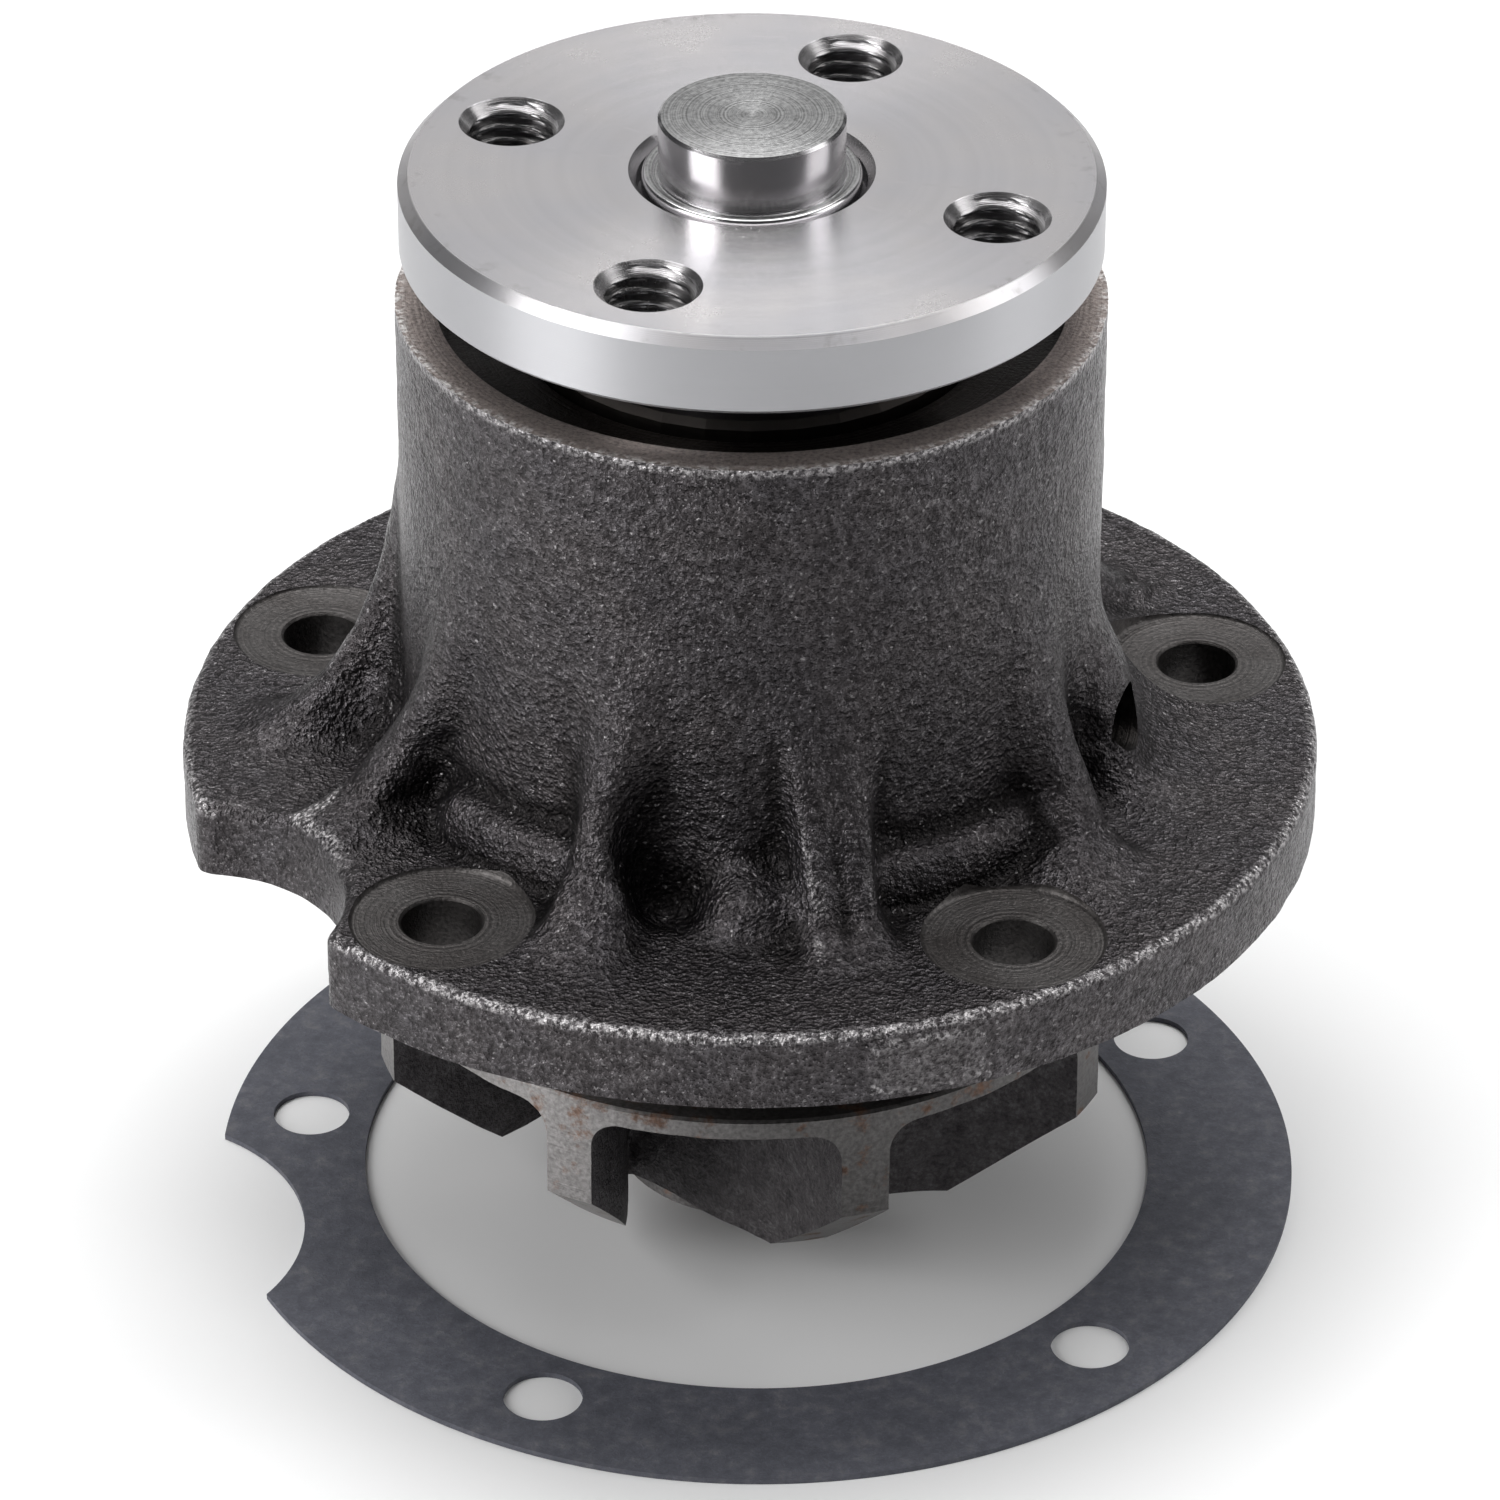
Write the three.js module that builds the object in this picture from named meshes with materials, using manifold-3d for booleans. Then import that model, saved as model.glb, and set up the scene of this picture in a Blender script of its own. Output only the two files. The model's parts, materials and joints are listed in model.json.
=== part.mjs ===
// Engine coolant pump: cast housing, integral shaft bearing, mechanical seal, hub flange,
// impeller and a loose flange gasket. Millimetres, +Z up along the shaft axis.
// Origin: centre of the impeller's end boss, which is also the surface the pump stands on.
import * as THREE from 'three';
import { mergeVertices } from 'three/addons/utils/BufferGeometryUtils.js';
import Module from 'manifold-3d';

const wasm = await Module();
wasm.setup();

// ---------- driving dimensions ----------
const HUB_FACE_Z = 97; // fan-side face of the hub flange
const HUB_R = 29;
const HUB_THICKNESS = 6.7;
const HUB_BOSS_R = 15;
const HUB_BOSS_DEPTH = 2.5;
const HUB_BOLT_CIRCLE_R = 21.5;
const HUB_BOLT_COUNT = 4;
const HUB_BOLT_PHASE = 67.5;
const HUB_TAP_R = 3.45; // minor radius of an M8 thread
const HUB_SINK_R = 4.5;
const HUB_BORE_CHAMFER_R = 10.1;

const SHAFT_R = 9.05;
const STUB_R = 7.7;
const STUB_TOP_Z = 102;
const SHAFT_LOWER_R = 8;
const SHAFT_STEP_Z = 51;

const RIM_Z = 85.5; // machined top rim of the housing
const RIM_R = 29.4;
const RECESS_R = 26.1;
const RECESS_FLOOR_Z = 82.5;
const FLANGE_R = 48.3;
const FLANGE_TOP_Z = 44;
const FLANGE_BOTTOM_Z = 37.2; // engine face
const FLARE_R = 9; // fillet between barrel and flange
const NOSE_R = 26.5;
const NOSE_Z = 26.4;
const BEARING_BORE_R = 19.15;
const BEARING_SEAT_Z = 54.6;
const CAVITY_R = 17.4; // drain space between bearing and seal
const SEAL_BORE_R = 18.6;
const SEAL_BORE_TOP_Z = 44.5;

const FLANGE_BOLT_CIRCLE_R = 39.9;
const FLANGE_BOLT_COUNT = 5;
const FLANGE_BOLT_PHASE = 14.8;
const FLANGE_HOLE_R = 3.35; // clearance for M6
const SPOTFACE_R = 7.7;
const SPOTFACE_Z = 43.7;
const NOTCH_ANGLE = 210.3;
const NOTCH_CENTRE_R = 53.9;
const NOTCH_R = 13.2;
const WEEP_ANGLE = -15;
const WEEP_Z = 49.8;
const WEEP_R = 2.9;
const RIB_THICKNESS = 4.4;
const RIB_TOP_Z = 64;
const RIB_FOOT_R = 38;
const RIB_ANGLES = [34, 67, 107, 139, 172, 212, 248, 282.5, 325];

const BALL_R = 3.1;
const BALL_PITCH_R = 11.4;
const BALL_COUNT = 9;
const GROOVE_R = 3.35;
const UPPER_ROW_Z = 76;
const LOWER_ROW_Z = 62;
const OUTER_RING_R = 19.05;
const OUTER_RING_BORE_R = 13.75;
const OUTER_RING_TOP_Z = 83.8;
const OUTER_RING_BOTTOM_Z = 54.7;
const CAGE_HALF_HEIGHT = 4.3;
const CAGE_INNER_R = 10.4;
const CAGE_OUTER_R = 12.4;
const BEARING_SEAL_THICKNESS = 1.8;

const IMPELLER_R = 32.7;
const PLATE_TOP_Z = 25;
const PLATE_BOTTOM_Z = 23.2;
const VANE_COUNT = 8;
const VANE_PHASE = 283.8;
const VANE_THICKNESS = 4.2;
const VANE_CURVE_R = 25.6; // radius of the concave face of a vane
const VANE_ENTRY_HEADING = 110; // direction of that face at the rim, for a vane that ends at VANE_PHASE
const VANE_ARC_LENGTH = 17.5;
const VANE_RIM_Z = 14.6; // lower edge of the vane's outer end
const VANE_FLAT_R = 22.5;
const VANE_FLAT_Z = 5.2;
const BOSS_R = 11.4;
const IMPELLER_BORE_R = 8.1;
const SEAL_POCKET_R = 15.3;
const SEAL_POCKET_Z = 20.4;

const GASKET_THICKNESS = 0.5;
const GASKET_OUTER_R = 47;
const GASKET_INNER_R = 34.4;
const GASKET_CENTRE = [0.7, -2.35];
const GASKET_HOLE_PHASE = 171.3;
const GASKET_NOTCH_ANGLE = 191.8;
const GASKET_NOTCH_CENTRE_R = 57.7;
const GASKET_NOTCH_R = 17.3;

const RUNNING_GAP = 0.3;
const ROUND = 48; // sides of a large turned surface
const BEARING_SIDES = 32;
const MEDIUM = 24;
const SMALL = 14;
const BALL_SIDES = 8;
const BALL_BANDS = 6;

// ---------- helpers ----------
const FULL_TURN = Math.PI * 2;
const radians = (degrees) => (degrees * Math.PI) / 180;
const polar = (r, degrees) => [r * Math.cos(radians(degrees)), r * Math.sin(radians(degrees))];

function material(colour, roughness, metalness) {
  return new THREE.MeshStandardMaterial({ color: colour, roughness, metalness });
}

// A turned solid about +Z; profile points are [radius, height] and close on themselves or the axis.
function turned(profile, sides) {
  const onAxis = profile[0][0] === 0 && profile[profile.length - 1][0] === 0;
  const closed = onAxis ? profile : [...profile, profile[0]];
  const points = closed.map(([r, z]) => new THREE.Vector2(r, z));
  const geometry = new THREE.LatheGeometry(points, sides, Math.PI / 2);
  geometry.rotateX(Math.PI / 2);
  return geometry;
}

function cylinder(r, z0, z1, sides) {
  return turned([[0, z0], [r, z0], [r, z1], [0, z1]], sides);
}

function upright(outline, z0, height) {
  const geometry = new THREE.ExtrudeGeometry(new THREE.Shape(outline), {
    depth: height,
    bevelEnabled: false,
    steps: 1,
  });
  geometry.translate(0, 0, z0);
  return geometry;
}

function solid(geometry) {
  const bare = geometry.clone();
  bare.deleteAttribute('normal');
  bare.deleteAttribute('uv');
  const merged = mergeVertices(bare, 1e-4);
  const flat = new wasm.Mesh({
    numProp: 3,
    vertProperties: new Float32Array(merged.attributes.position.array),
    triVerts: new Uint32Array(dropSlivers(merged.index.array)),
  });
  const body = new wasm.Manifold(flat);
  return body.volume() < 0 ? solidReversed(merged) : body;
}

function dropSlivers(index) {
  const kept = [];
  for (let i = 0; i < index.length; i += 3) {
    const [a, b, c] = [index[i], index[i + 1], index[i + 2]];
    if (a !== b && b !== c && c !== a) {
      kept.push(a, b, c);
    }
  }
  return kept;
}

function solidReversed(merged) {
  const index = dropSlivers(merged.index.array);
  for (let i = 0; i < index.length; i += 3) {
    [index[i], index[i + 1]] = [index[i + 1], index[i]];
  }
  return new wasm.Manifold(new wasm.Mesh({
    numProp: 3,
    vertProperties: new Float32Array(merged.attributes.position.array),
    triVerts: new Uint32Array(index),
  }));
}

function geometryOf(body) {
  const data = body.getMesh();
  const geometry = new THREE.BufferGeometry();
  geometry.setAttribute('position', new THREE.BufferAttribute(new Float32Array(data.vertProperties), 3));
  geometry.setIndex(new THREE.BufferAttribute(new Uint32Array(data.triVerts), 1));
  geometry.computeVertexNormals();
  return geometry;
}

function at(geometry, x, y, z = 0) {
  return geometry.clone().translate(x, y, z);
}

function around(geometry, degrees) {
  return geometry.clone().rotateZ(radians(degrees));
}

const pump = new THREE.Group();

function add(name, geometry, look) {
  const mesh = new THREE.Mesh(geometryOf(solid(geometry)), look);
  mesh.name = name;
  pump.add(mesh);
  return mesh;
}

const castIron = material(0x2f2d2e, 0.75, 0.6);
const turnedSteel = material(0xb9babd, 0.35, 0.95);
const groundSteel = material(0xa6a7aa, 0.25, 1);
const bearingSteel = material(0x9a9ca0, 0.3, 1);
const blackRubber = material(0x1b1b1c, 0.8, 0);
const brass = material(0xb08d4a, 0.35, 0.9);
const carbon = material(0x2a2a2c, 0.5, 0.1);
const ceramic = material(0xd9d3c4, 0.3, 0);
const nylon = material(0x8a6b3c, 0.6, 0);
const fibrePaper = material(0x33373f, 0.9, 0);
const impellerIron = material(0x6c6a69, 0.55, 0.7);

// ---------- housing ----------
function barrelAndFlange() {
  const flare = [];
  const steps = 5;
  const centreR = RIM_R + FLARE_R;
  const centreZ = FLANGE_TOP_Z + FLARE_R;
  for (let i = 0; i <= steps; i += 1) {
    const a = radians(-90 - (90 * i) / steps);
    flare.push([centreR + FLARE_R * Math.cos(a), centreZ + FLARE_R * Math.sin(a)]);
  }
  const edge = 0.6;
  return turned([
    [SEAL_BORE_R, NOSE_Z],
    [NOSE_R, NOSE_Z],
    [NOSE_R, FLANGE_BOTTOM_Z],
    [FLANGE_R - edge, FLANGE_BOTTOM_Z],
    [FLANGE_R, FLANGE_BOTTOM_Z + edge],
    [FLANGE_R, FLANGE_TOP_Z - edge],
    [FLANGE_R - edge, FLANGE_TOP_Z],
    ...flare,
    [RIM_R, RIM_Z],
    [RECESS_R, RIM_Z],
    [RECESS_R, RECESS_FLOOR_Z],
    [BEARING_BORE_R, RECESS_FLOOR_Z],
    [BEARING_BORE_R, BEARING_SEAT_Z],
    [CAVITY_R, BEARING_SEAT_Z],
    [CAVITY_R, SEAL_BORE_TOP_Z],
    [SEAL_BORE_R, SEAL_BORE_TOP_Z],
  ], ROUND);
}

// A stiffening rib: a leaning web from the barrel down to the flange.
function rib(degrees) {
  const inner = 25;
  const outline = [
    new THREE.Vector2(inner, FLANGE_TOP_Z - 1),
    new THREE.Vector2(RIB_FOOT_R + 1, FLANGE_TOP_Z - 1),
    new THREE.Vector2(RIM_R + 4.4, FLANGE_TOP_Z + 6),
    new THREE.Vector2(RIM_R - 0.4, RIB_TOP_Z),
    new THREE.Vector2(inner, RIB_TOP_Z),
  ];
  const web = upright(outline, -RIB_THICKNESS / 2, RIB_THICKNESS);
  web.rotateX(Math.PI / 2);
  return around(web, degrees);
}

function flangeCutters() {
  const cutters = [];
  for (let i = 0; i < FLANGE_BOLT_COUNT; i += 1) {
    const [x, y] = polar(FLANGE_BOLT_CIRCLE_R, FLANGE_BOLT_PHASE + (360 * i) / FLANGE_BOLT_COUNT);
    cutters.push(at(cylinder(FLANGE_HOLE_R, FLANGE_BOTTOM_Z - 1, FLANGE_TOP_Z + 1, SMALL), x, y));
    cutters.push(at(cylinder(SPOTFACE_R, SPOTFACE_Z, FLANGE_TOP_Z + 14, MEDIUM), x, y));
  }
  const [notchX, notchY] = polar(NOTCH_CENTRE_R, NOTCH_ANGLE);
  cutters.push(at(cylinder(NOTCH_R, FLANGE_BOTTOM_Z - 1, FLANGE_TOP_Z + 20, ROUND), notchX, notchY));
  const weep = cylinder(WEEP_R, CAVITY_R - 4, FLANGE_R, SMALL);
  weep.rotateY(Math.PI / 2);
  weep.translate(0, 0, WEEP_Z);
  cutters.push(around(weep, WEEP_ANGLE));
  return cutters;
}

function housing() {
  let body = solid(barrelAndFlange());
  for (const degrees of RIB_ANGLES) {
    body = body.add(solid(rib(degrees)));
  }
  body = body.subtract(solid(cylinder(BEARING_BORE_R, BEARING_SEAT_Z, RIM_Z + 1, ROUND)));
  for (const cutter of flangeCutters()) {
    body = body.subtract(solid(cutter));
  }
  return geometryOf(body);
}

// ---------- shaft bearing ----------
// Half-round ball groove, listed along +Z; side is -1 for an outer ring and +1 for a shaft.
function groove(faceR, rowZ, side) {
  const points = [];
  const half = Math.acos(Math.abs(faceR - BALL_PITCH_R) / GROOVE_R);
  const steps = 4;
  for (let i = 0; i <= steps; i += 1) {
    const a = -half + (2 * half * i) / steps;
    points.push([BALL_PITCH_R - side * GROOVE_R * Math.cos(a), rowZ + GROOVE_R * Math.sin(a)]);
  }
  return points;
}

function bearingOuterRing() {
  const chamfer = 0.6;
  return turned([
    [OUTER_RING_BORE_R, OUTER_RING_BOTTOM_Z],
    [OUTER_RING_R - chamfer, OUTER_RING_BOTTOM_Z],
    [OUTER_RING_R, OUTER_RING_BOTTOM_Z + chamfer],
    [OUTER_RING_R, OUTER_RING_TOP_Z - chamfer],
    [OUTER_RING_R - chamfer, OUTER_RING_TOP_Z],
    [OUTER_RING_BORE_R, OUTER_RING_TOP_Z],
    ...groove(OUTER_RING_BORE_R, UPPER_ROW_Z, -1).reverse(),
    ...groove(OUTER_RING_BORE_R, LOWER_ROW_Z, -1).reverse(),
  ], BEARING_SIDES);
}

function bearingSeal(z0) {
  const lip = 0.5;
  const z1 = z0 + BEARING_SEAL_THICKNESS;
  return turned([
    [SHAFT_R + RUNNING_GAP, z0 + lip],
    [SHAFT_R + RUNNING_GAP + 1, z0],
    [OUTER_RING_BORE_R - 0.1, z0],
    [OUTER_RING_BORE_R - 0.1, z1],
    [SHAFT_R + RUNNING_GAP + 1, z1],
    [SHAFT_R + RUNNING_GAP, z1 - lip],
  ], MEDIUM);
}

function ball(rowZ, degrees) {
  const [x, y] = polar(BALL_PITCH_R, degrees);
  const sphere = new THREE.SphereGeometry(BALL_R, BALL_SIDES, BALL_BANDS);
  return at(sphere, x, y, rowZ);
}

function ballAngle(index) {
  return (360 * index) / BALL_COUNT;
}

function ballCage(rowZ) {
  const z0 = rowZ - CAGE_HALF_HEIGHT;
  const z1 = rowZ + CAGE_HALF_HEIGHT;
  let body = solid(turned([
    [CAGE_INNER_R, z0],
    [CAGE_OUTER_R, z0],
    [CAGE_OUTER_R, z1],
    [CAGE_INNER_R, z1],
  ], MEDIUM));
  for (let i = 0; i < BALL_COUNT; i += 1) {
    const pocket = cylinder(BALL_R + RUNNING_GAP, CAGE_INNER_R - 2, CAGE_OUTER_R + 1, BALL_SIDES);
    pocket.rotateY(Math.PI / 2);
    pocket.translate(0, 0, rowZ);
    body = body.subtract(solid(around(pocket, ballAngle(i))));
  }
  return geometryOf(body);
}

// ---------- rotor ----------
function hubFlange() {
  const topChamfer = 0.8;
  const lowChamfer = 0.4;
  const z0 = HUB_FACE_Z - HUB_THICKNESS;
  const bore = SHAFT_R + 0.1;
  let body = solid(turned([
    [bore, z0 - HUB_BOSS_DEPTH],
    [HUB_BOSS_R, z0 - HUB_BOSS_DEPTH],
    [HUB_BOSS_R, z0],
    [HUB_R - lowChamfer, z0],
    [HUB_R, z0 + lowChamfer],
    [HUB_R, HUB_FACE_Z - topChamfer],
    [HUB_R - topChamfer, HUB_FACE_Z],
    [HUB_BORE_CHAMFER_R, HUB_FACE_Z],
    [bore, HUB_FACE_Z - 1],
  ], ROUND));
  const sink = HUB_SINK_R - HUB_TAP_R;
  const tapped = turned([
    [0, z0 - 1],
    [HUB_TAP_R, z0 - 1],
    [HUB_TAP_R, HUB_FACE_Z - sink],
    [HUB_SINK_R + 1, HUB_FACE_Z + 1],
    [0, HUB_FACE_Z + 1],
  ], SMALL);
  for (let i = 0; i < HUB_BOLT_COUNT; i += 1) {
    const [x, y] = polar(HUB_BOLT_CIRCLE_R, HUB_BOLT_PHASE + (360 * i) / HUB_BOLT_COUNT);
    body = body.subtract(solid(at(tapped, x, y)));
  }
  return geometryOf(body);
}

function shaft() {
  const chamfer = 0.4;
  return turned([
    [0, 0],
    [SHAFT_LOWER_R - chamfer, 0],
    [SHAFT_LOWER_R, chamfer],
    [SHAFT_LOWER_R, SHAFT_STEP_Z],
    [SHAFT_R - chamfer, SHAFT_STEP_Z],
    [SHAFT_R, SHAFT_STEP_Z + chamfer],
    ...groove(SHAFT_R, LOWER_ROW_Z, 1),
    ...groove(SHAFT_R, UPPER_ROW_Z, 1),
    [SHAFT_R, HUB_FACE_Z - chamfer],
    [SHAFT_R - chamfer, HUB_FACE_Z],
    [STUB_R, HUB_FACE_Z],
    [STUB_R, STUB_TOP_Z - chamfer],
    [STUB_R - chamfer, STUB_TOP_Z],
    [0, STUB_TOP_Z],
  ], MEDIUM);
}

function slinger() {
  const z0 = 48.4;
  const dish = 1.2;
  const sheet = 1;
  const bore = SHAFT_LOWER_R + 0.1;
  return turned([
    [bore, z0 - 1.4],
    [bore + 1, z0 - 1.4],
    [bore + 1, z0],
    [14.6, z0 - dish],
    [14.6, z0 - dish + sheet],
    [bore + 1.2, z0 + sheet],
    [bore, z0 + sheet],
  ], MEDIUM);
}

// Closed outline of one vane seen along the axis: the concave face, then the opposite face back.
function vaneOutline() {
  const [x0, y0] = polar(IMPELLER_R, VANE_PHASE);
  const centreAngle = VANE_ENTRY_HEADING + 90;
  const cx = x0 + VANE_CURVE_R * Math.cos(radians(centreAngle));
  const cy = y0 + VANE_CURVE_R * Math.sin(radians(centreAngle));
  const startAngle = centreAngle - 180;
  const sweep = THREE.MathUtils.radToDeg(VANE_ARC_LENGTH / VANE_CURVE_R);
  const overshoot = 8; // degrees past the rim, trimmed by the envelope
  const steps = 6;
  const face = [];
  const back = [];
  for (let i = 0; i <= steps; i += 1) {
    const a = radians(startAngle - overshoot + ((sweep + overshoot) * i) / steps);
    face.push(new THREE.Vector2(cx + VANE_CURVE_R * Math.cos(a), cy + VANE_CURVE_R * Math.sin(a)));
    const r = VANE_CURVE_R + VANE_THICKNESS;
    back.push(new THREE.Vector2(cx + r * Math.cos(a), cy + r * Math.sin(a)));
  }
  const root = new THREE.Vector2(...polar(BOSS_R - 2, VANE_PHASE - 50));
  const heel = new THREE.Vector2(...polar(BOSS_R - 2, VANE_PHASE - 5));
  return [...face, root, heel, ...back.reverse()];
}

function impeller() {
  const envelope = solid(turned([
    [0, VANE_FLAT_Z],
    [VANE_FLAT_R, VANE_FLAT_Z],
    [IMPELLER_R, VANE_RIM_Z],
    [IMPELLER_R, PLATE_BOTTOM_Z + 0.5],
    [0, PLATE_BOTTOM_Z + 0.5],
  ], ROUND));
  const vane = solid(upright(vaneOutline(), VANE_FLAT_Z - 1, PLATE_BOTTOM_Z - VANE_FLAT_Z + 3));
  let body = solid(turned([
    [0, 0],
    [BOSS_R, 0],
    [BOSS_R, 2],
    [14, VANE_FLAT_Z + 1.5],
    [17.2, SEAL_POCKET_Z - 1],
    [19.5, PLATE_BOTTOM_Z],
    [IMPELLER_R, PLATE_BOTTOM_Z],
    [IMPELLER_R, PLATE_TOP_Z],
    [0, PLATE_TOP_Z],
  ], ROUND));
  for (let i = 0; i < VANE_COUNT; i += 1) {
    body = body.add(vane.rotate([0, 0, (360 * i) / VANE_COUNT]).intersect(envelope));
  }
  body = body.subtract(solid(cylinder(IMPELLER_BORE_R, -1, PLATE_TOP_Z + 1, BEARING_SIDES)));
  body = body.subtract(solid(cylinder(SEAL_POCKET_R, SEAL_POCKET_Z, PLATE_TOP_Z + 1, ROUND)));
  return geometryOf(body);
}

// ---------- mechanical seal ----------
const CARBON_BOTTOM_Z = 27.6;
const CARBON_TOP_Z = 32.4;
const CUP_TOP_Z = 44.2;

function sealCup() {
  const wall = 0.9;
  const outer = SEAL_BORE_R - 0.1;
  return turned([
    [outer - wall, 29],
    [outer, 29],
    [outer, CUP_TOP_Z],
    [9.2, CUP_TOP_Z],
    [9.2, CUP_TOP_Z - wall],
    [outer - wall, CUP_TOP_Z - wall],
  ], MEDIUM);
}

function sealBellows() {
  const low = CARBON_TOP_Z + 0.1;
  const high = CUP_TOP_Z - 1;
  const pitch = (high - low) / 4;
  const outer = [];
  const inner = [];
  for (let i = 0; i <= 4; i += 1) {
    const crest = i % 2 === 0 ? 13.4 : 11.6;
    outer.push([crest, low + pitch * i]);
    inner.push([crest - 1.6, low + pitch * i]);
  }
  return turned([...outer, ...inner.reverse()], MEDIUM);
}

class Helix extends THREE.Curve {
  constructor(radius, z0, z1, turns) {
    super();
    Object.assign(this, { radius, z0, z1, turns });
  }

  getPoint(t, target = new THREE.Vector3()) {
    const a = FULL_TURN * this.turns * t;
    return target.set(this.radius * Math.cos(a), this.radius * Math.sin(a), this.z0 + (this.z1 - this.z0) * t);
  }
}

function sealSpring() {
  const wireR = 0.6;
  const turns = 4;
  const section = new THREE.Shape();
  section.absarc(0, 0, wireR, 0, FULL_TURN);
  return new THREE.ExtrudeGeometry(section, {
    steps: turns * 12,
    curveSegments: 3,
    bevelEnabled: false,
    extrudePath: new Helix(15.4, 33.4, 42.3, turns),
  });
}

function sealCarbonRing() {
  return turned([
    [SHAFT_LOWER_R + 1, CARBON_BOTTOM_Z],
    [11.4, CARBON_BOTTOM_Z],
    [11.4, CARBON_BOTTOM_Z + 1.2],
    [14, CARBON_BOTTOM_Z + 2],
    [14, CARBON_TOP_Z],
    [SHAFT_LOWER_R + 1, CARBON_TOP_Z],
  ], MEDIUM);
}

const BOOT_OUTER_R = SEAL_POCKET_R - 0.1;
const BOOT_INNER_R = BOOT_OUTER_R - 1.3;
const BOOT_BOTTOM_Z = SEAL_POCKET_Z + 0.1;
const BOOT_FLOOR_Z = BOOT_BOTTOM_Z + 1.1;

function sealMatingRing() {
  return turned([
    [SHAFT_LOWER_R + 0.5, BOOT_FLOOR_Z + 0.1],
    [BOOT_INNER_R - 0.1, BOOT_FLOOR_Z + 0.1],
    [BOOT_INNER_R - 0.1, CARBON_BOTTOM_Z - RUNNING_GAP - 0.4],
    [BOOT_INNER_R - 0.5, CARBON_BOTTOM_Z - RUNNING_GAP],
    [SHAFT_LOWER_R + 0.5, CARBON_BOTTOM_Z - RUNNING_GAP],
  ], MEDIUM);
}

function matingRingBoot() {
  return turned([
    [SHAFT_LOWER_R + 0.4, BOOT_BOTTOM_Z],
    [BOOT_OUTER_R, BOOT_BOTTOM_Z],
    [BOOT_OUTER_R, PLATE_TOP_Z],
    [BOOT_INNER_R, PLATE_TOP_Z],
    [BOOT_INNER_R, BOOT_FLOOR_Z],
    [SHAFT_LOWER_R + 0.4, BOOT_FLOOR_Z],
  ], MEDIUM);
}

// ---------- gasket ----------
function gasket() {
  let body = solid(turned([
    [GASKET_INNER_R, 0],
    [GASKET_OUTER_R, 0],
    [GASKET_OUTER_R, GASKET_THICKNESS],
    [GASKET_INNER_R, GASKET_THICKNESS],
  ], ROUND));
  for (let i = 0; i < FLANGE_BOLT_COUNT; i += 1) {
    const [x, y] = polar(FLANGE_BOLT_CIRCLE_R, GASKET_HOLE_PHASE + (360 * i) / FLANGE_BOLT_COUNT);
    body = body.subtract(solid(at(cylinder(FLANGE_HOLE_R, -1, GASKET_THICKNESS + 1, SMALL), x, y)));
  }
  const [x, y] = polar(GASKET_NOTCH_CENTRE_R, GASKET_NOTCH_ANGLE);
  body = body.subtract(solid(at(cylinder(GASKET_NOTCH_R, -1, GASKET_THICKNESS + 1, ROUND), x, y)));
  return at(geometryOf(body), GASKET_CENTRE[0], GASKET_CENTRE[1]);
}

// ---------- assembly ----------
add('housing', housing(), castIron);
add('bearing_outer_ring', bearingOuterRing(), bearingSteel);
add('bearing_seal_upper', bearingSeal(OUTER_RING_TOP_Z - BEARING_SEAL_THICKNESS - 0.4), blackRubber);
add('bearing_seal_lower', bearingSeal(OUTER_RING_BOTTOM_Z + 0.4), blackRubber);
for (const [row, rowZ] of [['upper', UPPER_ROW_Z], ['lower', LOWER_ROW_Z]]) {
  add(`ball_cage_${row}`, ballCage(rowZ), nylon);
  for (let i = 0; i < BALL_COUNT; i += 1) {
    add(`ball_${row}_${i + 1}`, ball(rowZ, ballAngle(i)), bearingSteel);
  }
}
add('seal_cup', sealCup(), brass);
add('seal_spring', sealSpring(), groundSteel);
add('seal_bellows', sealBellows(), blackRubber);
add('seal_carbon_ring', sealCarbonRing(), carbon);
add('seal_mating_ring', sealMatingRing(), ceramic);
add('mating_ring_boot', matingRingBoot(), blackRubber);
add('hub_flange', hubFlange(), turnedSteel);
add('shaft', shaft(), groundSteel);
add('slinger', slinger(), groundSteel);
add('impeller', impeller(), impellerIron);
add('flange_gasket', gasket(), fibrePaper);

export default pump;
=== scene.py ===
"""Engine coolant pump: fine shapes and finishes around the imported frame.

Shapes are worked out in millimetres, in the frame's own axes, and turned into metres when a mesh is made.
Angles are in degrees round +Z from +X, so -90 is the front of the pump.
"""

import json
import math

import bpy
import numpy as np
from mathutils import Matrix, Vector, noise


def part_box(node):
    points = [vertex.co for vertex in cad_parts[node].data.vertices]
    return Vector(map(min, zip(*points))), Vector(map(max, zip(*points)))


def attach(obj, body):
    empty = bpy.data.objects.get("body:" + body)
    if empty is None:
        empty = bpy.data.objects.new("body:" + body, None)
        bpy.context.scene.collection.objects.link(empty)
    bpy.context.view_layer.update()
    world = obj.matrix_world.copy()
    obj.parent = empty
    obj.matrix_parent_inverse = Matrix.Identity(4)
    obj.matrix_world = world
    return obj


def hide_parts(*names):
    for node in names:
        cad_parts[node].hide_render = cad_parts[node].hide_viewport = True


MM = 0.001

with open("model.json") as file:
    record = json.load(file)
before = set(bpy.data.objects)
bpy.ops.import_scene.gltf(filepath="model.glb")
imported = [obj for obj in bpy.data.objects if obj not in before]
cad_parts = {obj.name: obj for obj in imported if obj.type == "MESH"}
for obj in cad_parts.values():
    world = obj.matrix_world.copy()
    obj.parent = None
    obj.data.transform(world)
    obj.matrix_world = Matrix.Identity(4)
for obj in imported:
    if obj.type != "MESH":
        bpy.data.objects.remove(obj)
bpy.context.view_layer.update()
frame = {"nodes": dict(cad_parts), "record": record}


# ---------- places taken from the frame ----------
def box_mm(node):
    """Lowest and highest corner of a CAD node in millimetres."""
    low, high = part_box(node)
    return np.array(low) / MM, np.array(high) / MM


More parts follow.
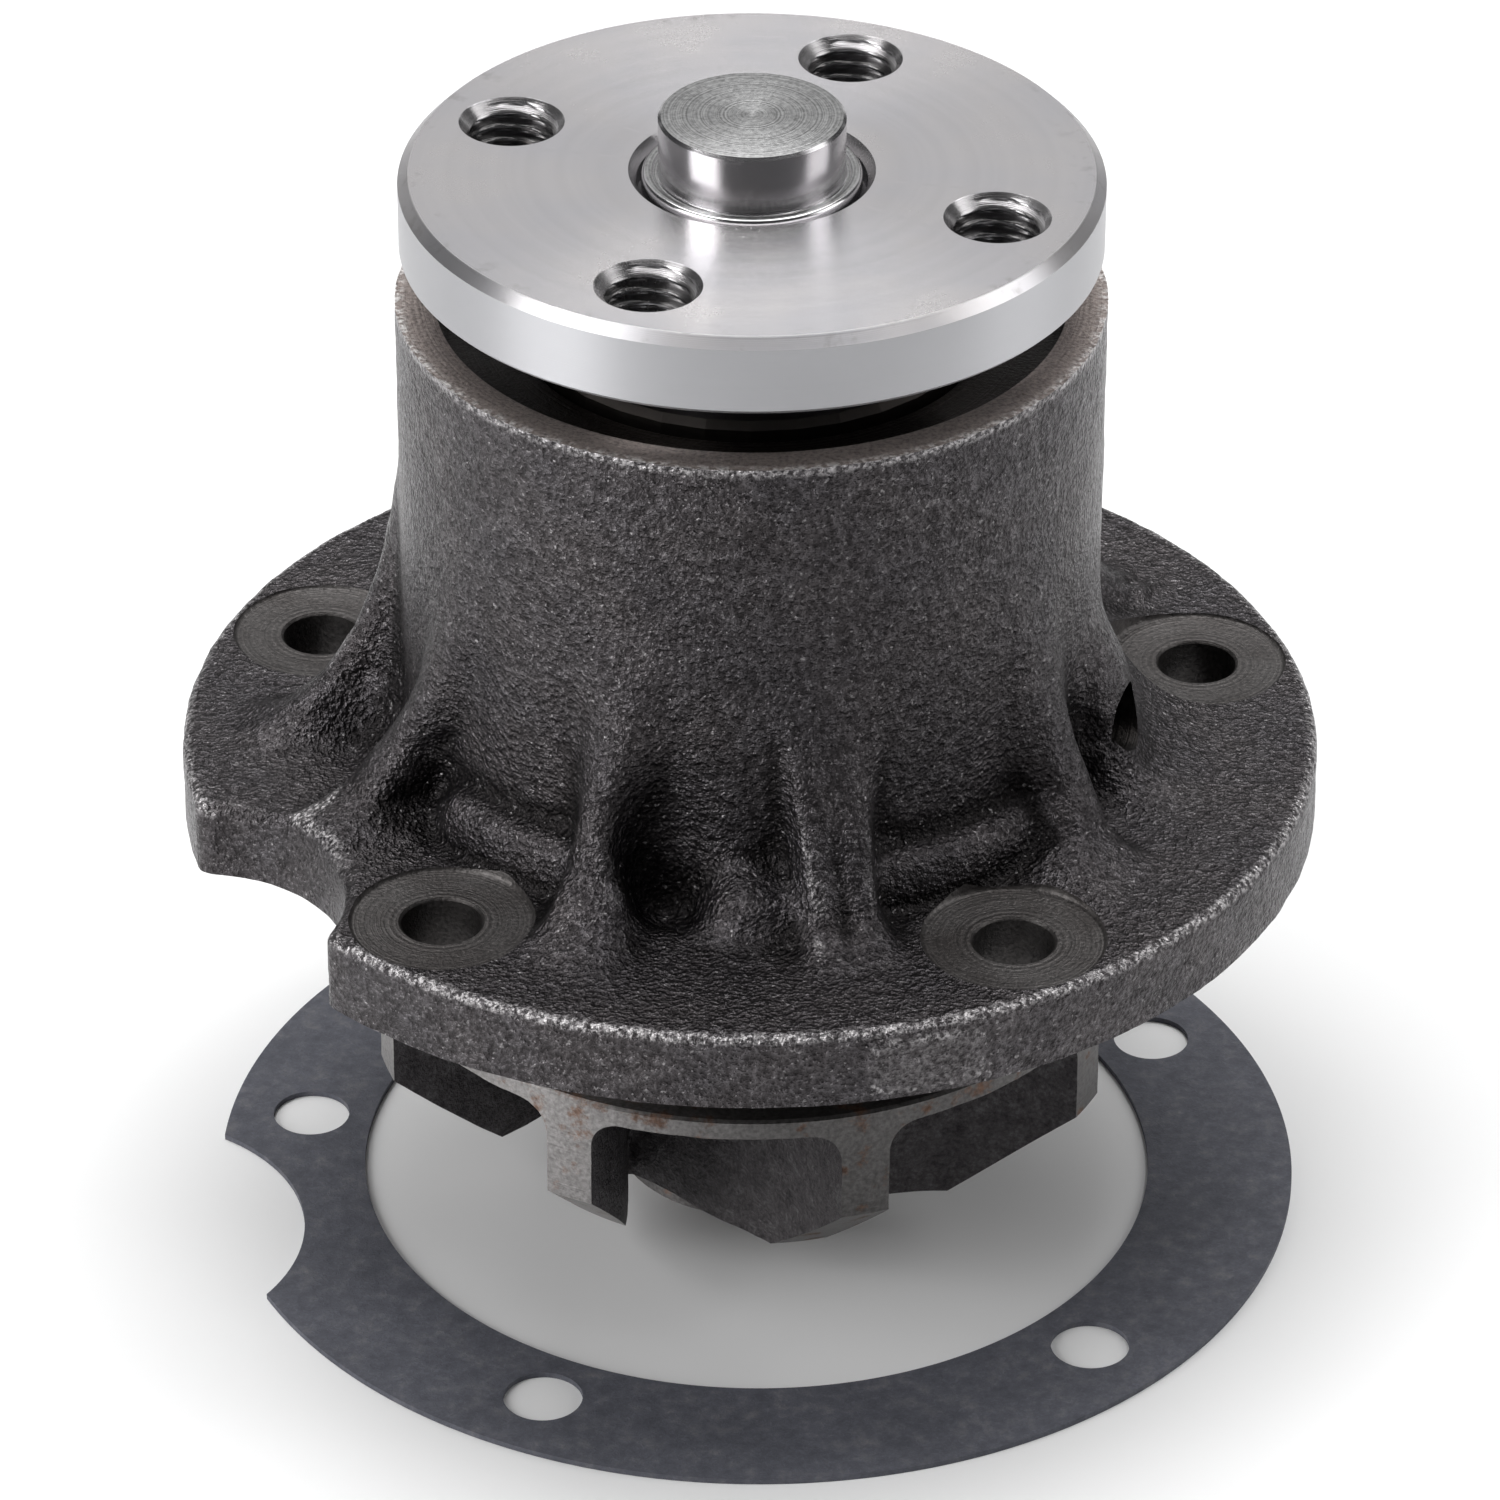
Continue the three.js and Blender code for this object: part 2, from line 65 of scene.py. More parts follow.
def opening_axes(prefix):
    """Centres in x and y of the record's openings whose names start with prefix."""
    found = [o["box_m"] for o in frame["record"]["physics"]["openings"] if o["name"].startswith(prefix)]
    return [tuple((np.array(low[:2]) + np.array(high[:2])) / 2 / MM) for low, high in found]


housing_low, housing_high = box_mm("housing")
hub_low, hub_high = box_mm("hub_flange")
shaft_low, shaft_high = box_mm("shaft")
impeller_low, impeller_high = box_mm("impeller")
gasket_low, gasket_high = box_mm("flange_gasket")

FLANGE_R = housing_high[0]
RIM_Z = housing_high[2]
NOSE_Z = housing_low[2]
HUB_R = hub_high[0]
HUB_FACE_Z = hub_high[2]
HUB_BOSS_Z = hub_low[2]
SHAFT_R = shaft_high[0]
STUB_TOP_Z = shaft_high[2]
IMPELLER_R = impeller_high[0]
PLATE_TOP_Z = impeller_high[2]
GASKET_R = (gasket_high[1] - gasket_low[1]) / 2
GASKET_CENTRE = (gasket_high[0] - GASKET_R, gasket_high[1] - GASKET_R)
GASKET_THICKNESS = gasket_high[2] - gasket_low[2]

BOLT_AXES = opening_axes("flange_bolt_hole")
TAP_AXES = opening_axes("hub_tapped_hole")
GASKET_HOLES = opening_axes("gasket_bolt_hole")
NOTCH_ANGLE = math.degrees(math.atan2(*opening_axes("flange_notch")[0][::-1]))
GASKET_NOTCH_ANGLE = 191.8

# ---------- sizes of the casting ----------
BARREL_R = 29.4
RECESS_R = 26.1
RECESS_CHAMFER = (1.1, 0.2)
RECESS_DEPTH = 3
FLANGE_TOP_Z = 44
FLANGE_BOTTOM_Z = 37.2
FLANGE_EDGE = 0.8
NOSE_R = 26.5
BEARING_BORE_R = 19.15
BEARING_SEAT_Z = 54.6
CAVITY_R = 17.4
SEAL_BORE_R = 18.6
SEAL_BORE_TOP_Z = 44.5
BOLT_HOLE_R = 3.35
SPOTFACE_R = 7.7
SPOTFACE_Z = 43.7
NOTCH_CENTRE_R = 53.9
NOTCH_R = 13.2
WEEP_ANGLE = -15
WEEP_Z = 49.8
WEEP_R = 2.9
WEEP_MOUTH_R = 32.5
WEEP_DRILL_END_R = 46
GATE_ANGLE = -72.6
GATE_Z = 40.25
GATE_SIZE = (9.8, 4.9)
GATE_CORNER = 1.4
GATE_RISE = 0.18
RIB_RUN_OUT_RISE = 8
RIB_RUN_OUT_DEPTH = 4.5

# ---------- sizes of the rotor ----------
HUB_THICKNESS = 6.7
HUB_BOSS_R = 15
HUB_BORE_CHAMFER_R = 10.13
THREAD_PITCH = 1.25
THREAD_MINOR_R = 3.42
THREAD_MAJOR_R = 4.05
THREAD_SINK_R = 4.4
STUB_R = 7.7
SHAFT_LOWER_R = 8
SHAFT_STEP_Z = 51
BALL_ROWS_Z = (62, 76)
BALL_PITCH_R = 11.4
GROOVE_R = 3.35
VANE_COUNT = 8
VANE_PHASE = 283.8
VANE_THICKNESS = 4.2
VANE_CURVE_R = 25.6
VANE_CENTRE = (-16.26, -40.51)
VANE_SWEEP = (8, 88)
VANE_FAIRING = (56, 86)
VANE_RIM_Z = 14.6
VANE_FLAT_R = 22.5
VANE_FLAT_Z = 5.2
PLATE_BOTTOM_Z = 23.2
BOSS_R = 11.4
CONE_HEIGHTS = (0, 2, 6.7, 19.4, 26)
CONE_RADII = (11.6, 11.9, 14.2, 17.4, 20)
SEAL_POCKET_R = 15.3
SEAL_POCKET_Z = 20.4
GASKET_INNER_R = 34.4
GASKET_NOTCH_CENTRE_R = 57.7
GASKET_NOTCH_R = 17.3


# ---------- solids from formulas ----------
def smooth_min(a, b, blend):
    """The lower of two fields, with a fillet about as wide as blend where they meet."""
    h = np.clip(0.5 + 0.5 * (b - a) / blend, 0, 1)
    return b + (a - b) * h - blend * h * (1 - h)


def smooth_max(a, b, blend):
    return -smooth_min(-a, -b, blend)


def smooth_step(low, high, value):
    t = np.clip((value - low) / (high - low), 0, 1)
    return t * t * (3 - 2 * t)


def rounded_box(across, along, half_across, half_along, edge):
    """Signed distance in a plane to a rectangle with round corners."""
    a = np.abs(across) - (half_across - edge)
    b = np.abs(along) - (half_along - edge)
    return np.minimum(np.maximum(a, b), 0) + np.hypot(np.maximum(a, 0), np.maximum(b, 0)) - edge


def turn_difference(angle, centre):
    """Angle from centre, from -180 to 180 degrees."""
    return (angle - centre + 180) % 360 - 180


def ellipsoid(r, angle, z, centre, size):
    """Signed distance, near its surface, to an ellipsoid.

    The centre is (angle, radius, height) and the half sizes run across, outwards and up.
    """
    across = centre[1] * np.radians(turn_difference(angle, centre[0])) / size[0]
    outwards = (r - centre[1]) / size[1]
    up = (z - centre[2]) / size[2]
    reach = np.sqrt(across**2 + outwards**2 + up**2)
    return (reach - 1) * min(size)


def fill_touching(values):
    """Fills the few grid squares whose corners are in, out, in, out, so no edge is shared by 4 faces."""
    touching_any = True
    while touching_any:
        touching_any = False
        for b, c in ((0, 1), (1, 2), (0, 2)):
            corners = []
            for i, j in ((0, 0), (0, 1), (1, 0), (1, 1)):
                window = [slice(None)] * 3
                window[b] = slice(i, values.shape[b] - 1 + i)
                window[c] = slice(j, values.shape[c] - 1 + j)
                corners.append(values[tuple(window)])
            inside = [corner < 0 for corner in corners]
            touching = (inside[0] == inside[3]) & (inside[1] == inside[2]) & (inside[0] != inside[1])
            if touching.any():
                touching_any = True
                for corner in corners:
                    corner[touching] = np.minimum(corner[touching], -0.001)


def surface_net(field, low, high, step):
    """Vertices and quads of the surface where field is 0, with faces pointing to higher values."""
    axes = [np.arange(a, b + step, step, dtype=np.float32) for a, b in zip(low, high)]
    shape = tuple(len(a) for a in axes)
    values = np.empty(shape, np.float32)
    slab = 16
    for k in range(0, shape[2], slab):
        x, y, z = np.meshgrid(axes[0], axes[1], axes[2][k : k + slab], indexing="ij")
        values[:, :, k : k + slab] = field(x, y, z)
    fill_touching(values)
    inside = values < 0
    strides = np.array([shape[1] * shape[2], shape[2], 1])
    flat = values.ravel()
    cells, points, quads = [], [], []
    for axis in range(3):
        near = [slice(None)] * 3
        far = [slice(None)] * 3
        near[axis], far[axis] = slice(0, -1), slice(1, None)
        found = np.argwhere(inside[tuple(near)] != inside[tuple(far)])
        ids = found @ strides
        start, end = flat[ids], flat[ids + strides[axis]]
        crossing = found.astype(np.float64)
        crossing[:, axis] += start / (start - end)
        b, c = (axis + 1) % 3, (axis + 2) % 3
        around = [ids - strides[b] - strides[c], ids - strides[c], ids, ids - strides[b]]
        for cell in around:
            cells.append(cell)
            points.append(crossing)
        ring = np.stack(around, 1)
        ring[start >= 0] = ring[start >= 0][:, ::-1]
        quads.append(ring)
    cells = np.concatenate(cells)
    points = np.concatenate(points)
    names, index = np.unique(cells, return_inverse=True)
    count = np.bincount(index)
    vertices = np.stack([np.bincount(index, points[:, a]) / count for a in range(3)], 1)
    vertices = vertices * step + np.array(low)
    return vertices, np.searchsorted(names, np.concatenate(quads))


def field_slope(field, points, reach=0.05):
    """Value of the field at points, and its direction of steepest rise."""
    def value(offset):
        x, y, z = (points + offset).T
        return field(x, y, z)

    slope = np.stack([value(reach * e) - value(-reach * e) for e in np.eye(3)], 1) / (2 * reach)
    steepness = np.linalg.norm(slope, axis=1) + 1e-9
    return value(np.zeros(3)) / steepness, slope / steepness[:, None]


def casting(name, field, grid, step, roughness_of, limits, look):
    """A cast body: the field's surface, roughened, and held within limits in x and y."""
    low, high = grid
    vertices, quads = surface_net(field, low, high, step)
    for _ in range(2):
        distance, normal = field_slope(field, vertices)
        vertices -= normal * np.clip(distance, -step, step)[:, None]
    _, normal = field_slope(field, vertices, 0.3)
    vertices += normal * roughness_of(vertices)[:, None]
    vertices[:, :2] = np.clip(vertices[:, :2], limits[0][:2], limits[1][:2])
    return mesh_object(name, vertices, quads, look)


def lumps(points, size, octaves=2):
    """Smooth random heights from about -1 to 1 whose lumps are about size millimetres across."""
    heights = [noise.fractal(Vector(p) / size, 1, 2, octaves) for p in points]
    return np.array(heights)


# ---------- meshes ----------
def mesh_object(name, vertices, faces, *looks):
    """A new object from points in millimetres."""
    mesh = bpy.data.meshes.new(name)
    points = np.asarray(vertices, float) * MM
    mesh.from_pydata(points.tolist(), [], [list(map(int, f)) for f in faces])
    for look in looks:
        mesh.materials.append(look)
    mesh.update()
    obj = bpy.data.objects.new(name, mesh)
    bpy.context.scene.collection.objects.link(obj)
    return obj


def turned_mesh(profile, sides, centre=(0, 0)):
    """Points and faces of a solid of revolution about a vertical axis.

    The profile's (radius, height) points run anticlockwise.
    They close on themselves, or start and end on the axis.
    """
    on_axis = profile[0][0] == 0
    angles = np.linspace(0, 2 * math.pi, sides, endpoint=False)
    points, rings = [], []
    for radius, height in profile:
        start = len(points)
        if radius == 0:
            points.append((centre[0], centre[1], height))
            rings.append([start] * sides)
        else:
            for a in angles:
                points.append((centre[0] + radius * math.cos(a), centre[1] + radius * math.sin(a), height))
            rings.append(list(range(start, start + sides)))
    faces = []
    last = len(rings) - 1 if on_axis else len(rings)
    for i in range(last):
        low, high = rings[i], rings[(i + 1) % len(rings)]
        for j in range(sides):
            k = (j + 1) % sides
            face = [low[j], low[k], high[k], high[j]]
            kept = [v for n, v in enumerate(face) if v != face[n - 1]]
            if len(kept) > 2:
                faces.append(kept)
    return points, faces


def rod_profile(radius, low, high):
    return [(0, low), (radius, low), (radius, high), (0, high)]


def turned(name, profile, look, sides=192):
    points, faces = turned_mesh(profile, sides)
    return mesh_object(name, points, faces, look)


def arc(centre_r, centre_z, radius, start, end, steps=6):
    """Profile points along an arc, angles measured from outwards towards up."""
    turns = [math.radians(start + (end - start) * i / steps) for i in range(steps + 1)]
    return [(centre_r + radius * math.cos(a), centre_z + radius * math.sin(a)) for a in turns]


def joined(name, parts, look):
    """One object from several separate closed shells, each given as (points, faces)."""
    points, faces = [], []
    for part_points, part_faces in parts:
        start = len(points)
        points.extend(part_points)
        faces.extend([[start + v for v in face] for face in part_faces])
    return mesh_object(name, points, faces, look)


def cut(target, tool, operation="DIFFERENCE"):
    """Cuts target with tool for good; the cut faces take the tool's material."""
    modifier = target.modifiers.new("cut", "BOOLEAN")
    modifier.operation = operation
    modifier.solver = "MANIFOLD"
    modifier.material_mode = "TRANSFER"
    modifier.object = tool
    bpy.context.view_layer.update()
    evaluated = target.evaluated_get(bpy.context.evaluated_depsgraph_get())
    result = bpy.data.meshes.new_from_object(evaluated)
    target.modifiers.clear()
    old = target.data
    if len(result.vertices) == len(old.vertices):
        raise RuntimeError(target.name + " could not be cut")
    target.data = result
    bpy.data.meshes.remove(old)
    bpy.data.objects.remove(tool)
    return target


def smooth(obj, sharp_angle=35):
    """Smooth shading, with edges kept sharp where the faces turn by more than sharp_angle degrees."""
    mesh = obj.data
    mesh.polygons.foreach_set("use_smooth", [True] * len(mesh.polygons))
    mesh.set_sharp_from_angle(angle=math.radians(sharp_angle))
    mesh.update()
    return obj


def mark_tool_place(obj, axes=(), reach=SPOTFACE_R + 0.3):
    """Stores, per face corner, its place in millimetres from the axis of the tool that cut that face."""
    mesh = obj.data
    count = len(mesh.vertices)
    points = np.empty(count * 3, np.float32)
    mesh.vertices.foreach_get("co", points)
    points = points.reshape(-1, 3) / MM
    corners = np.empty(len(mesh.loops), np.int32)
    mesh.loops.foreach_get("vertex_index", corners)
    starts = np.empty(len(mesh.polygons), np.int32)
    mesh.polygons.foreach_get("loop_start", starts)
    totals = np.empty(len(mesh.polygons), np.int32)
    mesh.polygons.foreach_get("loop_total", totals)
    centres = np.add.reduceat(points[corners], starts) / totals[:, None]
    offsets = np.zeros((len(starts), 3), np.float32)
    for x, y in axes:
        near = np.hypot(centres[:, 0] - x, centres[:, 1] - y) < reach
        offsets[near, 0], offsets[near, 1] = x, y
    places = points[corners] - np.repeat(offsets, totals, 0)
    attribute = mesh.attributes.new("tool_place", "FLOAT_VECTOR", "CORNER")
    attribute.data.foreach_set("vector", places.ravel())
    return obj


def mark_wear_and_painted_light(obj, wear_and_light_of):
    """Stores, per vertex, how far its skin is lightened, up to 1, by worn metal and painted highlight, or
    darkened, down to -1, by painted shade.
    """
    count = len(obj.data.vertices)
    points = np.empty(count * 3, np.float32)
    obj.data.vertices.foreach_get("co", points)
    attribute = obj.data.attributes.new("wear_and_painted_light", "FLOAT", "POINT")
    attribute.data.foreach_set("value", wear_and_light_of(points.reshape(-1, 3) / MM).astype(np.float32))
    return obj


def convexity(field, points, reach=0.7):
    """How sharply the field's surface bends outwards at points, in 1/mm."""
    x, y, z = points.T
    middle = field(x, y, z)
    around = -6 * middle
    for dx, dy, dz in np.eye(3) * reach:
        around += field(x + dx, y + dy, z + dz) + field(x - dx, y - dy, z - dz)
    return around / reach**2


# ---------- finishes ----------
class Look:
    """A material built from nodes, with short calls for the textures that feed its shader."""

    def __init__(self, name, **values):
        self.material = bpy.data.materials.new(name)
        self.material.use_nodes = True
        self.tree = self.material.node_tree
        self.shader = next(n for n in self.tree.nodes if n.type == "BSDF_PRINCIPLED")
        for socket, value in values.items():
            self.shader.inputs[socket.replace("_", " ")].default_value = value
        self.place = self.node("ShaderNodeTexCoord").outputs["Object"]

    def node(self, kind, settings=(), **inputs):
        made = self.tree.nodes.new(kind)
        for key, value in dict(settings).items():
            setattr(made, key, value)
        for key, value in inputs.items():
            self.plug(value, made.inputs[key.replace("_", " ")])
        return made

    def plug(self, value, socket):
        if isinstance(value, bpy.types.NodeSocket):
            self.tree.links.new(value, socket)
        else:
            socket.default_value = value

    def feed(self, socket, value):
        self.plug(value, self.shader.inputs[socket])

    def grain(self, size, detail=2.0, roughness=0.5, distortion=0.0, place=None, scale=1 / MM):
        """Random values from 0 to 1 whose lumps are about size millimetres across."""
        made = self.node(
            "ShaderNodeTexNoise",
            Vector=place or self.place,
            Scale=scale / size,
            Detail=detail,
            Roughness=roughness,
            Distortion=distortion,
        )
        return made.outputs["Fac"]

    def shifted(self, distance):
        """Object coordinates moved along X by a distance in metres, for a second, unrelated grain."""
        moved = self.node("ShaderNodeVectorMath", {"operation": "ADD"}, Vector=self.place)
        moved.inputs[1].default_value = (distance, 0, 0)
        return moved.outputs["Vector"]

    def ramp(self, factor, *stops):
        """Colours, or single grey values, along factor; each stop is (position, colour)."""
        made = self.node("ShaderNodeValToRGB", Fac=factor)
        elements = made.color_ramp.elements
        while len(elements) < len(stops):
            elements.new(0.5)
        for element, (position, colour) in zip(elements, stops):
            element.position = position
            grey = isinstance(colour, (int, float))
            element.color = (colour, colour, colour, 1) if grey else (*colour, 1)
        return made.outputs["Color"]

    def spread(self, factor, low, high, from_low=0.0, from_high=1.0):
        """Factor moved from one range to another, and held inside it."""
        keys = {"From Min": from_low, "From Max": from_high, "To Min": low, "To Max": high}
        made = self.node("ShaderNodeMapRange")
        self.plug(factor, made.inputs["Value"])
        for key, value in keys.items():
            made.inputs[key].default_value = value
        return made.outputs["Result"]

    def maths(self, operation, a, b=0.0):
        made = self.node("ShaderNodeMath", {"operation": operation})
        self.plug(a, made.inputs[0])
        self.plug(b, made.inputs[1])
        return made.outputs[0]

    def blend(self, factor, a, b, how="MIX"):
        """Colour b over colour a by factor."""
        made = self.node("ShaderNodeMix", {"data_type": "RGBA", "blend_type": how})
        self.plug(factor, made.inputs[0])
        for value, socket in ((a, made.inputs[6]), (b, made.inputs[7])):
            self.plug((*value, 1) if isinstance(value, tuple) else value, socket)
        return made.outputs[2]

    def bump(self, height, depth, normal=None, strength=1.0):
        """Normals of a relief depth millimetres high."""
        made = self.node("ShaderNodeBump", Height=height, Distance=depth * MM, Strength=strength)
        if normal is not None:
            self.plug(normal, made.inputs["Normal"])
        return made.outputs["Normal"]

    def tool_place(self):
        """Place in millimetres from the axis of the tool that cut the face."""
        return self.node("ShaderNodeAttribute", {"attribute_name": "tool_place"}).outputs["Vector"]

    def millimetres(self, place):
        """Object coordinates in millimetres."""
        scaled = self.node("ShaderNodeVectorMath", {"operation": "SCALE"}, Vector=place, Scale=1 / MM)
        return scaled.outputs["Vector"]

    def radius(self, place):
        split = self.node("ShaderNodeSeparateXYZ", Vector=place)
        squares = [self.maths("MULTIPLY", split.outputs[i], split.outputs[i]) for i in range(2)]
        return self.maths("SQRT", self.maths("ADD", *squares))

    def rings(self, place, width, detail=3.0):
        """Random values that change only with the distance from the tool's axis, as lathe marks do."""
        made = self.node("ShaderNodeTexNoise", {"noise_dimensions": "1D"}, Scale=1 / width, Detail=detail)
        self.plug(self.radius(place), made.inputs["W"])
        return made.outputs["Fac"]

    def streaks(self, place, width, detail=3.0):
        """Random values that change only along Z, as marks round a turned cylinder do."""
        split = self.node("ShaderNodeSeparateXYZ", Vector=place)
        made = self.node("ShaderNodeTexNoise", {"noise_dimensions": "1D"}, Scale=1 / width, Detail=detail)
        self.plug(split.outputs[2], made.inputs["W"])
        return made.outputs["Fac"]

    def turned_tangent(self):
        made = self.node("ShaderNodeTangent", {"direction_type": "RADIAL", "axis": "Z"})
        self.feed("Tangent", made.outputs["Tangent"])


def cast_iron():
    """Sand-cast iron: dark, with a sandy relief that sparkles, painted glints, outer edges lightened as worn
    metal with a painted highlight, and painted shade in the creases beside the ribs.
    """
    look = Look("cast_iron_skin", Metallic=0.96)
    fine = look.grain(0.38, 2, 0.55)
    coarse = look.grain(1.0, 1, 0.5)
    broad = look.grain(7, 2, 0.5)
    relief = look.maths("ADD", look.maths("MULTIPLY", fine, 0.62), look.maths("MULTIPLY", coarse, 0.38))
    tone = look.ramp(
        relief,
        (0.37, (0.034, 0.031, 0.032)),
        (0.50, (0.063, 0.058, 0.060)),
        (0.63, (0.110, 0.103, 0.107)),
    )
    stain = look.ramp(broad, (0.35, (0.86, 0.86, 0.88)), (0.7, (1.0, 0.985, 0.98)))
    tone = look.blend(1.0, tone, stain, "MULTIPLY")
    wear_and_painted_light = look.node("ShaderNodeAttribute", {"attribute_name": "wear_and_painted_light"}).outputs["Fac"]
    # Painted shade: the creases beside the ribs, where the attribute is negative, are darkened almost to
    # black.
    painted_hollow_shade = look.maths("MULTIPLY", look.spread(wear_and_painted_light, 1.0, 0.0, -1.0, 0.0), 0.85)
    tone = look.blend(painted_hollow_shade, tone, (0.010, 0.009, 0.009))
    # Painted glints: sparse light specks in the base colour.
    flecks = look.spread(look.grain(0.42, 1, 0.5, place=look.shifted(3)), 0.0, 0.28, 0.66, 0.74)
    broken = look.spread(look.grain(0.45, 3, 0.6), 0.03, 0.75, 0.44, 0.60)
    # Light chips where the attribute is positive: worn metal on the rim's lip and gate stub, worn metal and
    # painted highlight on outer edges.
    chips = look.maths("MULTIPLY", look.maths("MAXIMUM", wear_and_painted_light, 0.0), broken)
    bright = look.maths("MAXIMUM", chips, flecks)
    look.feed("Base Color", look.blend(bright, tone, (0.56, 0.54, 0.545)))
    look.feed("Roughness", look.spread(fine, 0.40, 0.27, 0.35, 0.65))
    look.feed("Normal", look.bump(relief, 0.58))
    return look.material


def machined_iron():
    """Turned and spotfaced iron: brownish grey, with painted light on the rim and painted shade in the
    recess, bores and drain.
    """
    look = Look("machined_iron", Metallic=0.8, Anisotropic=0.35, Anisotropic_Rotation=0.25)
    place = look.tool_place()
    marks = look.rings(place, 0.28, 4)
    grain = look.grain(0.35, 3, 0.6)
    stain = look.grain(6, 3, 0.55)
    tone = look.ramp(stain, (0.32, (0.062, 0.056, 0.054)), (0.68, (0.102, 0.096, 0.094)))
    tone = look.blend(1.0, tone, look.ramp(marks, (0.35, 0.80), (0.65, 1.15)), "MULTIPLY")
    height = look.node("ShaderNodeSeparateXYZ", Vector=place).outputs[2]
    rim = look.spread(height, 0.0, 1.0, RIM_Z - 0.32, RIM_Z - 0.24)
    inside = look.spread(look.radius(look.millimetres(look.place)), 1.0, 0.0, RECESS_R, RECESS_R + 0.1)
    # Painted light: the rim's top is given a lighter tone.
    tone = look.blend(rim, tone, (0.42, 0.36, 0.335))
    outer = look.spread(look.radius(look.millimetres(look.place)), 0.0, 1.0, BARREL_R - 0.9, BARREL_R - 0.2)
    chips = look.spread(look.grain(0.7, 3, 0.6), 0.0, 1.0, 0.46, 0.58)
    chipped_lip = look.maths("MULTIPLY", look.maths("MULTIPLY", rim, outer), chips)
    tone = look.blend(chipped_lip, tone, (0.80, 0.77, 0.76))
    # Painted shade: the machined faces inside the recess are made nearly black.
    tone = look.blend(inside, tone, (0.022, 0.018, 0.016))
    # Painted shade: the bolt holes' walls are darkened.
    hole = look.spread(look.radius(place), 0.6, 1.0, BOLT_HOLE_R + 0.05, BOLT_HOLE_R + 0.15)
    tone = look.blend(1.0, tone, hole, "MULTIPLY")
    # Painted shade: the drilled weep hole is made nearly black near its mouth.
    weep_turn = math.radians(WEEP_ANGLE)
    weep_place = (WEEP_MOUTH_R * math.cos(weep_turn), WEEP_MOUTH_R * math.sin(weep_turn), WEEP_Z)
    whole_place = look.millimetres(look.place)
    from_weep = look.node("ShaderNodeVectorMath", {"operation": "DISTANCE"}, Vector=whole_place)
    from_weep.inputs[1].default_value = weep_place
    drain = look.spread(from_weep.outputs["Value"], 1.0, 0.0, 5.5, 6.0)
    tone = look.blend(drain, tone, (0.012, 0.010, 0.009))
    pores = look.ramp(grain, (0.28, 0.5), (0.48, 0.95), (0.72, 1.35))
    look.feed("Base Color", look.blend(1.0, tone, pores, "MULTIPLY"))
    look.feed("Roughness", look.spread(marks, 0.32, 0.50))
    rough = look.bump(grain, 0.08)
    look.feed("Normal", look.bump(marks, 0.05, rough))
    look.turned_tangent()
    return look.material


def turned_steel():
    """Bright fine-turned steel of the hub flange, with faint smudges near its edge, and painted shade on its
    side and down its tapped holes.
    """
    look = Look("turned_steel", Metallic=1.0, Anisotropic=0.75, Anisotropic_Rotation=0.25)
    place = look.tool_place()
    marks = look.rings(place, 0.10, 3)
    streaks = look.streaks(place, 0.08, 3)
    cloud = look.grain(9, 2, 0.5)
    fine = look.grain(0.5, 2, 0.5)
    tone = look.ramp(cloud, (0.35, (0.59, 0.58, 0.60)), (0.65, (0.62, 0.60, 0.605)))
    radius = look.radius(place)
    arcs = look.ramp(look.rings(place, 2.2, 3), (0.36, 0.975), (0.64, 1.012))
    tone = look.blend(1.0, tone, arcs, "MULTIPLY")
    edge = look.spread(radius, 0.0, 1.0, 25.5, 28.0)
    patch = look.spread(look.grain(2.6, 4, 0.65), 0.0, 1.0, 0.57, 0.72)
    smudge = look.maths("MULTIPLY", look.maths("MULTIPLY", edge, patch), 0.45)
    tone = look.blend(smudge, tone, (0.30, 0.285, 0.28))
    near = look.spread(radius, 1.0, 0.0, THREAD_MAJOR_R + 0.02, THREAD_MAJOR_R + 0.12)
    height = look.node("ShaderNodeSeparateXYZ", Vector=place).outputs[2]
    thread = look.maths("MULTIPLY", near, look.spread(height, 1.0, 0.0, HUB_FACE_Z - 1.1, HUB_FACE_Z - 0.95))
    sink = look.spread(radius, 1.0, 0.0, THREAD_SINK_R, THREAD_SINK_R + 0.08)
    below = look.spread(height, 1.0, 0.0, HUB_FACE_Z - 0.08, HUB_FACE_Z - 0.02)
    tone = look.blend(look.maths("MULTIPLY", sink, below), tone, (0.40, 0.39, 0.395))
    # Painted shade: the thread deeper than about a millimetre in each tapped hole is darkened.
    tone = look.blend(thread, tone, (0.17, 0.165, 0.165))
    # Painted shade: the hub's side, facing sideways, is given a darker tone than its face.
    facing = look.node("ShaderNodeNewGeometry").outputs["True Normal"]
    painted_side_shade = look.spread(look.node("ShaderNodeSeparateXYZ", Vector=facing).outputs[2], 1.0, 0.0, 0.1, 0.5)
    look.feed("Base Color", look.blend(painted_side_shade, tone, (0.42, 0.42, 0.435)))
    gloss = look.maths("ADD", look.spread(cloud, 0.25, 0.27, 0.35, 0.65), look.spread(fine, -0.02, 0.02))
    outside = look.spread(radius, 0.0, 0.09, HUB_R - 1.0, HUB_R - 0.85)
    look.feed("Roughness", look.maths("ADD", gloss, outside))
    side = look.bump(streaks, 0.010)
    look.feed("Normal", look.bump(marks, 0.008, side))
    look.turned_tangent()
    return look.material


